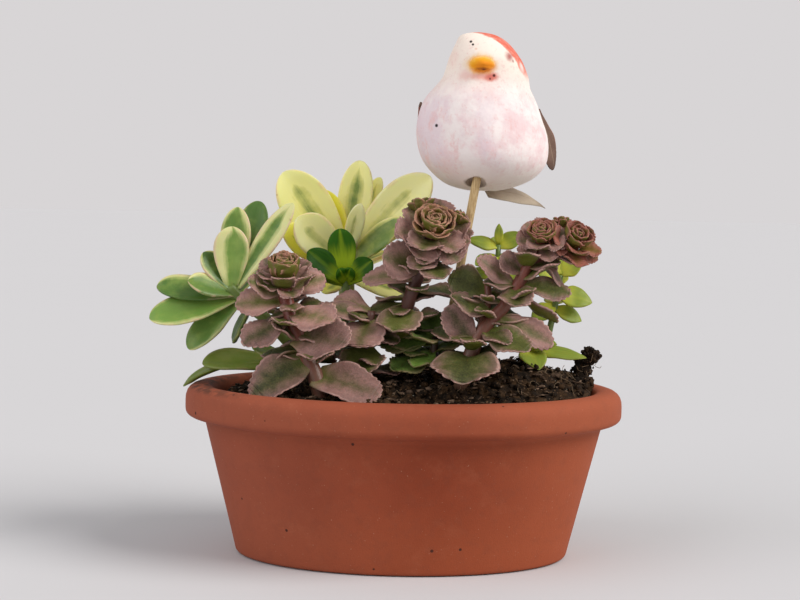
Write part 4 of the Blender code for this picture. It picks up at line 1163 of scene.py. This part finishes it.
# Height over its underside, centre and half-width across, centre and half-depth along Y
BIRD_SECTIONS = (
    (0.0, 31.3, 0.0, 15.0, 0.0),
    (0.0, 31.3, 5.5, 15.0, 6.0),
    (2.0, 31.5, 14.0, 15.0, 15.0),
    (6.0, 32.3, 21.0, 15.0, 22.0),
    (12.5, 32.0, 26.0, 15.5, 28.0),
    (21.0, 30.9, 27.6, 16.0, 30.0),
    (29.0, 29.7, 26.4, 15.0, 28.5),
    (37.0, 29.5, 23.4, 13.0, 25.0),
    (42.5, 30.1, 19.8, 11.0, 21.0),
    (47.0, 31.3, 17.6, 9.0, 18.0),
    (54.0, 30.8, 15.0, 7.5, 16.5),
    (60.0, 29.7, 11.4, 7.5, 13.0),
    (63.6, 28.2, 7.8, 8.0, 8.0),
    (BIRD_TOP, 27.6, 2.8, 8.0, 3.0),
    (BIRD_TOP, 27.6, 0.0, 8.0, 0.0),
)
STICK_FOOT, STICK_TOP = (12.6, 7.0, 59.0), (30.4, -3.0, 169.0)
RECESS_RADIUS, RECESS_DEPTH = 4.5, 6.4
BEAK_AT, BEAK_SIZE = (29.0, -8.2, 201.4), (5.2, 3.2, 3.1)
EYES = (((39.6, -4.2, 205.4), 0.8), ((17.4, 14.0, 205.2), 0.8))


def section_at(share):
    """The bird's section at a share of the way up its list, on a smooth curve through it."""
    place_in = share * (len(BIRD_SECTIONS) - 1)
    i = min(int(place_in), len(BIRD_SECTIONS) - 2)
    t = place_in - i
    rows = [BIRD_SECTIONS[max(0, min(len(BIRD_SECTIONS) - 1, i + k))] for k in (-1, 0, 1, 2)]
    return [curve_at(*four, t) for four in zip(*rows)]


bird_shape = bmesh.new()
bmesh.ops.create_uvsphere(bird_shape, u_segments=96, v_segments=98, radius=1.0)
for corner in bird_shape.verts:
    share = 1 - math.acos(max(-1.0, min(1.0, corner.co.z))) / math.pi
    reach = max(1e-6, math.hypot(corner.co.x, corner.co.y))
    over, x, half_width, y, half_depth = section_at(share)
    over = max(0.0, min(BIRD_TOP, over))
    half_width, half_depth = max(0.0, half_width), max(0.0, half_depth)
    if reach < 1e-5:
        half_width = half_depth = 0.0
    x, y = x + half_width * corner.co.x / reach, y + half_depth * corner.co.y / reach
    point = Vector((x, y, BIRD_BASE + over))
    dent = 0.35 * noise.noise(point * 0.09) + 0.12 * noise.noise(point * 0.4)
    corner.co = (point + Vector((corner.co.x, corner.co.y, 0)) * dent) * MM

foam, shader = plain_finish("painted_foam", Roughness=0.7, Specular_IOR_Level=0.25)
where = on_object(shader)
sideways, _, height = split(where)
wash = cloud(where, 78, 6, 0.65)
paint = blend(ease(wash, 0.4, 0.66), (0.97, 0.88, 0.86), (0.89, 0.68, 0.69))
lilac = cloud(stretched(where, (1.2, 1, 0.8)), 62, 6, 0.6)
lilac = ease(lilac, 0.38, 0.6) * ease(sideways, 0.05, 0.02)
paint = blend(lilac * 0.8, paint, (0.83, 0.68, 0.74))
blush = ease(cloud(stretched(where, (1, 1, 0.7)), 130, 6, 0.7), 0.52, 0.68)
blush = blush * ease(height, 0.204, 0.186)
paint = blend(blush * 0.75, paint, (0.86, 0.55, 0.54))
warm = ease(height, 0.184, 0.202)
paint = blend(warm * 0.85, paint, (1.0, 0.88, 0.76))
# Painted light: the underside is painted a paler warm white, for light that reaches it from below.
low = ease(height, 0.166, 0.152)
paint = blend(low * 0.75, paint, (1.0, 0.87, 0.77))
fine = ease(cloud(where, 560, 4, 0.65), 0.54, 0.68) * ease(wash, 0.36, 0.56)
paint = blend(fine * 0.45, paint, (0.84, 0.52, 0.5))


def spot(at_mm, low, high, ragged=0.0, squash=(1, 1, 1)):
    """1 within the low distance of a place on the bird, 0 past the high one."""
    moved = place("VectorMath", {0: where, 1: Vector(at_mm) * MM}, operation="SUBTRACT")
    moved = place("VectorMath", {0: moved, 1: squash}, operation="MULTIPLY")
    away = place("VectorMath", {0: moved}, "Value", operation="LENGTH")
    if ragged:
        away = cloud(where, 260, 4, 0.65) * (ragged * MM) + away
    return ease(away, high * MM, low * MM)


# The crown is painted on the side of the head that this direction points to
CROWN_SIDE = (0.601, 0.472, 0.645)
# A place, its sure and its farthest distance, how ragged, how far it is drawn out, its strength and colour
SMUDGES = (
    ((22.6, -6.9, 197.1), 2.5, 6.5, 4.0, (0.9, 0.5, 1.2), 0.60, (0.88, 0.52, 0.46)),
    ((18.5, 2.0, 204.0), 2.0, 6.5, 3.5, (1, 0.6, 0.8), 0.45, (0.90, 0.55, 0.50)),
    ((29.6, -9.5, 196.6), 3.0, 6.6, 3.5, (0.62, 0.4, 1.7), 0.85, (0.88, 0.42, 0.34)),
    ((33.0, -9.2, 196.3), 2.0, 4.6, 3.0, (0.7, 0.4, 1.3), 0.85, (0.66, 0.15, 0.11)),
    ((33.8, -9.3, 196.9), 0.5, 1.0, 0.4, (1, 0.3, 1), 1.0, (0.10, 0.025, 0.02)),
    ((32.2, -9.3, 195.6), 0.3, 0.8, 0.4, (1, 0.3, 1), 0.9, (0.16, 0.035, 0.03)),
    ((28.2, -10, 201.7), 5.0, 9.6, 4.5, (0.92, 0.3, 1.35), 1.0, (0.94, 0.64, 0.32)),
    ((28.8, -10, 201.4), 4.4, 8.0, 3.6, (0.85, 0.25, 1.40), 1.0, (0.93, 0.44, 0.015)),
    ((29.8, -10, 200.4), 2.3, 5.8, 1.8, (0.75, 0.2, 1.3), 0.85, (0.86, 0.25, 0.008)),
    ((28.9, -10, 199.4), 0.6, 2.0, 1.1, (0.40, 0.15, 1.5), 0.85, (0.30, 0.075, 0.012)),
    ((29.6, -10, 199.1), 0.3, 0.8, 0.5, (0.55, 0.15, 1.5), 0.90, (0.09, 0.025, 0.012)),
    ((39.9, -4.9, 205.0), 1.3, 3.6, 1.8, (0.9, 0.8, 0.8), 0.85, (0.40, 0.06, 0.05)),
    ((41.4, -4.4, 203.2), 0.4, 1.5, 0.8, (1, 1, 1), 0.8, (0.30, 0.05, 0.045)),
    ((16.8, 14.0, 205.2), 0.9, 3.0, 1.8, (0.8, 0.8, 1.1), 0.85, (0.40, 0.06, 0.05)),
    ((24.4, -3.8, 210.8), 0.35, 0.8, 0, (1, 0.5, 1), 1.0, (0.03, 0.022, 0.025)),
    ((25.2, -5.1, 209.5), 0.30, 0.7, 0, (1, 0.5, 1), 1.0, (0.04, 0.025, 0.025)),
    ((26.4, -6.6, 207.6), 0.3, 1.2, 0.6, (1, 0.5, 1), 0.7, (0.80, 0.40, 0.28)),
    ((11.2, -5.2, 176.6), 0.45, 0.9, 0, (1, 0.5, 1), 1.0, (0.03, 0.022, 0.025)),
    ((27.4, -1.3, 151.2), 4.4, 6.4, 1.4, (1, 1, 0.8), 0.9, (0.150, 0.095, 0.055)),
)
crown_side = place("VectorMath", {0: where, 1: CROWN_SIDE}, "Value", operation="DOT_PRODUCT")
crown_side = crown_side + cloud(where, 150, 4, 0.6) * 0.004
crown = ease(crown_side, 0.1568, 0.1582) * ease(height, 0.195, 0.201)
worn = ease(cloud(where, 210, 5, 0.7), 0.36, 0.6) * 0.18 + 0.78
paint = blend(crown * worn, paint, (0.78, 0.135, 0.075))
bare = spot((46.2, -0.5, 202.0), 1.6, 3.8, 1.6, (1.2, 1, 0.7)) * 0.9
paint = blend(bare, paint, (0.93, 0.78, 0.72))
for at_mm, sure, far, ragged, squash, strength, colour in SMUDGES:
    mask = spot(at_mm, sure, far, ragged, squash)
    paint = blend(mask * strength, paint, colour)
pores = place("TexVoronoi", {"Vector": where, "Scale": 620}, "Distance")
relief = pores * 0.5 + cloud(where, 240, 4)
feed(shader, Base_Color=paint, Normal=bumps(relief, 0.22, 0.0006))

bird = piece_from("bird", bird_shape, foam)
recess_shape = bmesh.new()
run = (Vector(STICK_TOP) - Vector(STICK_FOOT)).normalized()
bmesh.ops.create_cone(
    recess_shape, cap_ends=True, segments=40, radius1=RECESS_RADIUS * MM, radius2=RECESS_RADIUS * 0.85 * MM,
    depth=2 * RECESS_DEPTH * MM,
)
turn = Vector((0, 0, 1)).rotation_difference(run)
at_base = Vector(STICK_FOOT) + run * ((BIRD_BASE - STICK_FOOT[2]) / run.z)
for corner in recess_shape.verts:
    corner.co = turn @ corner.co + at_base * MM
cut_out(bird, piece_from("recess", recess_shape))

beak_shape = bmesh.new()
bmesh.ops.create_uvsphere(beak_shape, u_segments=40, v_segments=28, radius=1.0)
for corner in beak_shape.verts:
    x, y, z = corner.co
    pointed = 1 + 0.30 * max(0.0, -y) ** 3
    parted = 0.10 * math.exp(-(((z + 0.34) / 0.13) ** 2)) * max(0.0, -y)
    narrowed = 1 - 0.35 * max(0.0, -y) ** 2
    point = (x * BEAK_SIZE[0] * narrowed, (y + parted) * BEAK_SIZE[1] * pointed, z * BEAK_SIZE[2])
    corner.co = (Vector(point) + Vector(BEAK_AT)) * MM
beak = piece_from("beak", beak_shape, foam)

eye_finish, shader = plain_finish("eye_paint", Roughness=0.3)
gloss = blend(cloud(on_object(shader), 900, 2), (0.012, 0.008, 0.01), (0.045, 0.022, 0.022))
feed(shader, Base_Color=gloss)
eye_shape = bmesh.new()
for eye_at, size in EYES:
    made = bmesh.ops.create_uvsphere(eye_shape, u_segments=20, v_segments=14, radius=size * MM)["verts"]
    bmesh.ops.translate(eye_shape, verts=made, vec=Vector(eye_at) * MM)
eyes = piece_from("bird_eyes", eye_shape, eye_finish)
for piece in (bird, beak, eyes):
    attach(piece, "root")
    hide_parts("bird_body")

# Wings and tail
# Thin stiff plates, painted brown with fine barbs, glued to the bird's sides and under its back: base,
# direction, the way the flat side faces, length, width and curl.
PLATES = (
    ("right_wing", "bird_wing_right",
     (54.4, 27.5, 186.5), (0.42, 0.12, -0.90), (0.88, -0.44, 0.20), 28, 15, -16, 0.0),
    ("left_wing", "bird_wing_left",
     (4.6, 26, 188), (0.03, 0.42, -0.90), (-0.98, 0.25, 0.05), 28, 14, -28, 0.0),
    ("tail", "bird_tail",
     (33, 30, 151), (28, 12, -0.6), (0.1, -0.66, 0.74), 35, 12.5, -30, 1.0),
)
WING = Form(0.42, 0.70, 0.48, 1.4, 0.0, 7, 0.05, 0.08, 16, 40, 0)
TAIL_PLATE = Form(0.80, 0.22, 1.30, 1.4, 0.0, 0, 0.0, 0.06, 16, 40, 0)
feather, shader = plain_finish("painted_feather", Roughness=0.8, Specular_IOR_Level=0.2)
lane = lanes_of(shader, 160, 1500)
brown = blend(lane["Tone"], (0.125, 0.066, 0.048), (0.5, 0.41, 0.31))
slant = lane["Middle"] * -0.45 + lane["Along"]
barbs = calc("SINE", slant * 130.0)
streak = ease(barbs * 0.25 + lane["Mottle"], 0.35, 0.8)
darker = blend(lane["Tone"], (0.25, 0.16, 0.118), (0.38, 0.31, 0.23))
brown = blend(streak, brown, darker)
dark_tip = ease(lane["Along"], 0.72, 1.0) * 0.6
brown = blend(dark_tip, brown, blend(lane["Tone"], (0.075, 0.042, 0.032), (0.17, 0.12, 0.085)))
shaft = ease(lane["Middle"], 0.09, 0.03) * 0.5
brown = blend(shaft, brown, (0.34, 0.25, 0.18))
edge = ease(lane["Middle"], 0.8, 0.96) * ease(lane["Tone"], 0.6, 0.4)
edge = edge * ease(lane["Along"], 0.75, 0.55)
brown = blend(edge * 0.6, brown, (0.5, 0.19, 0.14))
feed(shader, Base_Color=brown, Normal=bumps(barbs, 0.25, 0.0002))
draw = random.Random(71)
for name, node, base, direction, face, length, width, curl, tone in PLATES:
    plate = new_plant()
    form = TAIL_PLATE if name == "tail" else WING
    leaf(plate, base, direction, face, length, width, curl, form, tone, 0.5, draw)
    piece = piece_from(name, plate, feather)
    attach(piece, "root")
    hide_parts(node)

# Stick
# A plain bamboo skewer, round, with long grain and a few darker fibres. It stands in the soil, leaning, and
# carries the bird.
STICK_RADIUS = 1.75

stick_shape = bmesh.new()
stick_path = [Vector(STICK_FOOT).lerp(Vector(STICK_TOP), i / 4) for i in range(5)]
stalk(stick_shape, stick_path, (STICK_RADIUS, STICK_RADIUS), 20)
wood, shader = plain_finish("bamboo", Roughness=0.6, Specular_IOR_Level=0.35)
where = on_object(shader)
grain = cloud(stretched(where, (1, 1, 0.05)), 2600, 5, 0.65)
tan = blend(ease(grain, 0.35, 0.7), (0.74, 0.55, 0.29), (0.46, 0.29, 0.12))
tan = blend(ease(cloud(where, 500, 3), 0.6, 0.72) * 0.6, tan, (0.24, 0.13, 0.05))
feed(shader, Base_Color=tan, Normal=bumps(grain, 0.4, 0.0003))
stick = piece_from("bamboo_stick", stick_shape, wood)
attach(stick, "root")
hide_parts("bird_stick")

# Studio
# A plain pale floor, a pale room, and large soft lights: the main one from the upper right in front. The
# camera stands a little above the rim and looks slightly down, as in the photograph.
CAMERA_AT = (-0.0023, -0.628, 0.147)
CAMERA_DOWN, CAMERA_ROLL = 3.83, 1.13
FOCAL_WIDTHS, SENSOR = 1525 / 800, 36.0
FLOOR_HALF, FLOOR_DROP = 12.0, 0.0003

floor_shape = bmesh.new()
bmesh.ops.create_grid(floor_shape, x_segments=1, y_segments=1, size=FLOOR_HALF)
bmesh.ops.translate(floor_shape, verts=floor_shape.verts, vec=(0, 0, -FLOOR_DROP))
paper, shader = plain_finish("pale_paper", Roughness=0.95, Specular_IOR_Level=0.05)
pale = blend(cloud(on_object(shader), 3, 2), (0.636, 0.636, 0.656), (0.645, 0.645, 0.666))
feed(shader, Base_Color=pale)
floor = piece_from("floor", floor_shape, paper)
floor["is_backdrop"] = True

room = bpy.data.worlds.new("pale_room")
room.use_nodes = True
seen = room.node_tree.nodes["Background"]
camera_ray = place("LightPath", output="Is Camera Ray", tree=room.node_tree)
backdrop = blend(camera_ray, (0.43, 0.42, 0.42), (0.686, 0.665, 0.672))
feed(seen, Color=backdrop)
bpy.context.scene.world = room

# A light: the way it shines from, strength, colour, and how many degrees wide it is
LIGHTS = (
    ("main", (1.0, -0.42, 0.9), 2.35, (1.0, 0.97, 0.93), 34),
    ("fill", (-1.0, -0.6, 0.75), 1.0, (1.0, 0.99, 1.0), 50),
)
for name, at, power, colour, spread in LIGHTS:
    lamp = bpy.data.lights.new(name, "SUN")
    lamp.energy = power
    lamp.angle = math.radians(spread)
    lamp.color = colour
    holder = bpy.data.objects.new(name, lamp)
    holder.rotation_euler = (-Vector(at)).to_track_quat("-Z", "Y").to_euler()
    bpy.context.scene.collection.objects.link(holder)

lens = bpy.data.cameras.new("camera")
lens.sensor_width = SENSOR
lens.lens = SENSOR * FOCAL_WIDTHS
lens.clip_start = 0.01
lens.clip_end = 60.0
camera = bpy.data.objects.new("camera", lens)
camera.location = CAMERA_AT
looking = Vector((0, math.cos(math.radians(CAMERA_DOWN)), -math.sin(math.radians(CAMERA_DOWN))))
level = looking.to_track_quat("-Z", "Y").to_matrix().to_4x4()
camera.rotation_euler = (level @ Matrix.Rotation(math.radians(CAMERA_ROLL), 4, "Z")).to_euler()
bpy.context.scene.collection.objects.link(camera)
bpy.context.scene.camera = camera
bpy.context.scene.view_settings.view_transform = "Standard"

sizes = {"cad": [list(corner) for corner in cad_box], "visual": [list(corner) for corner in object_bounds()]}
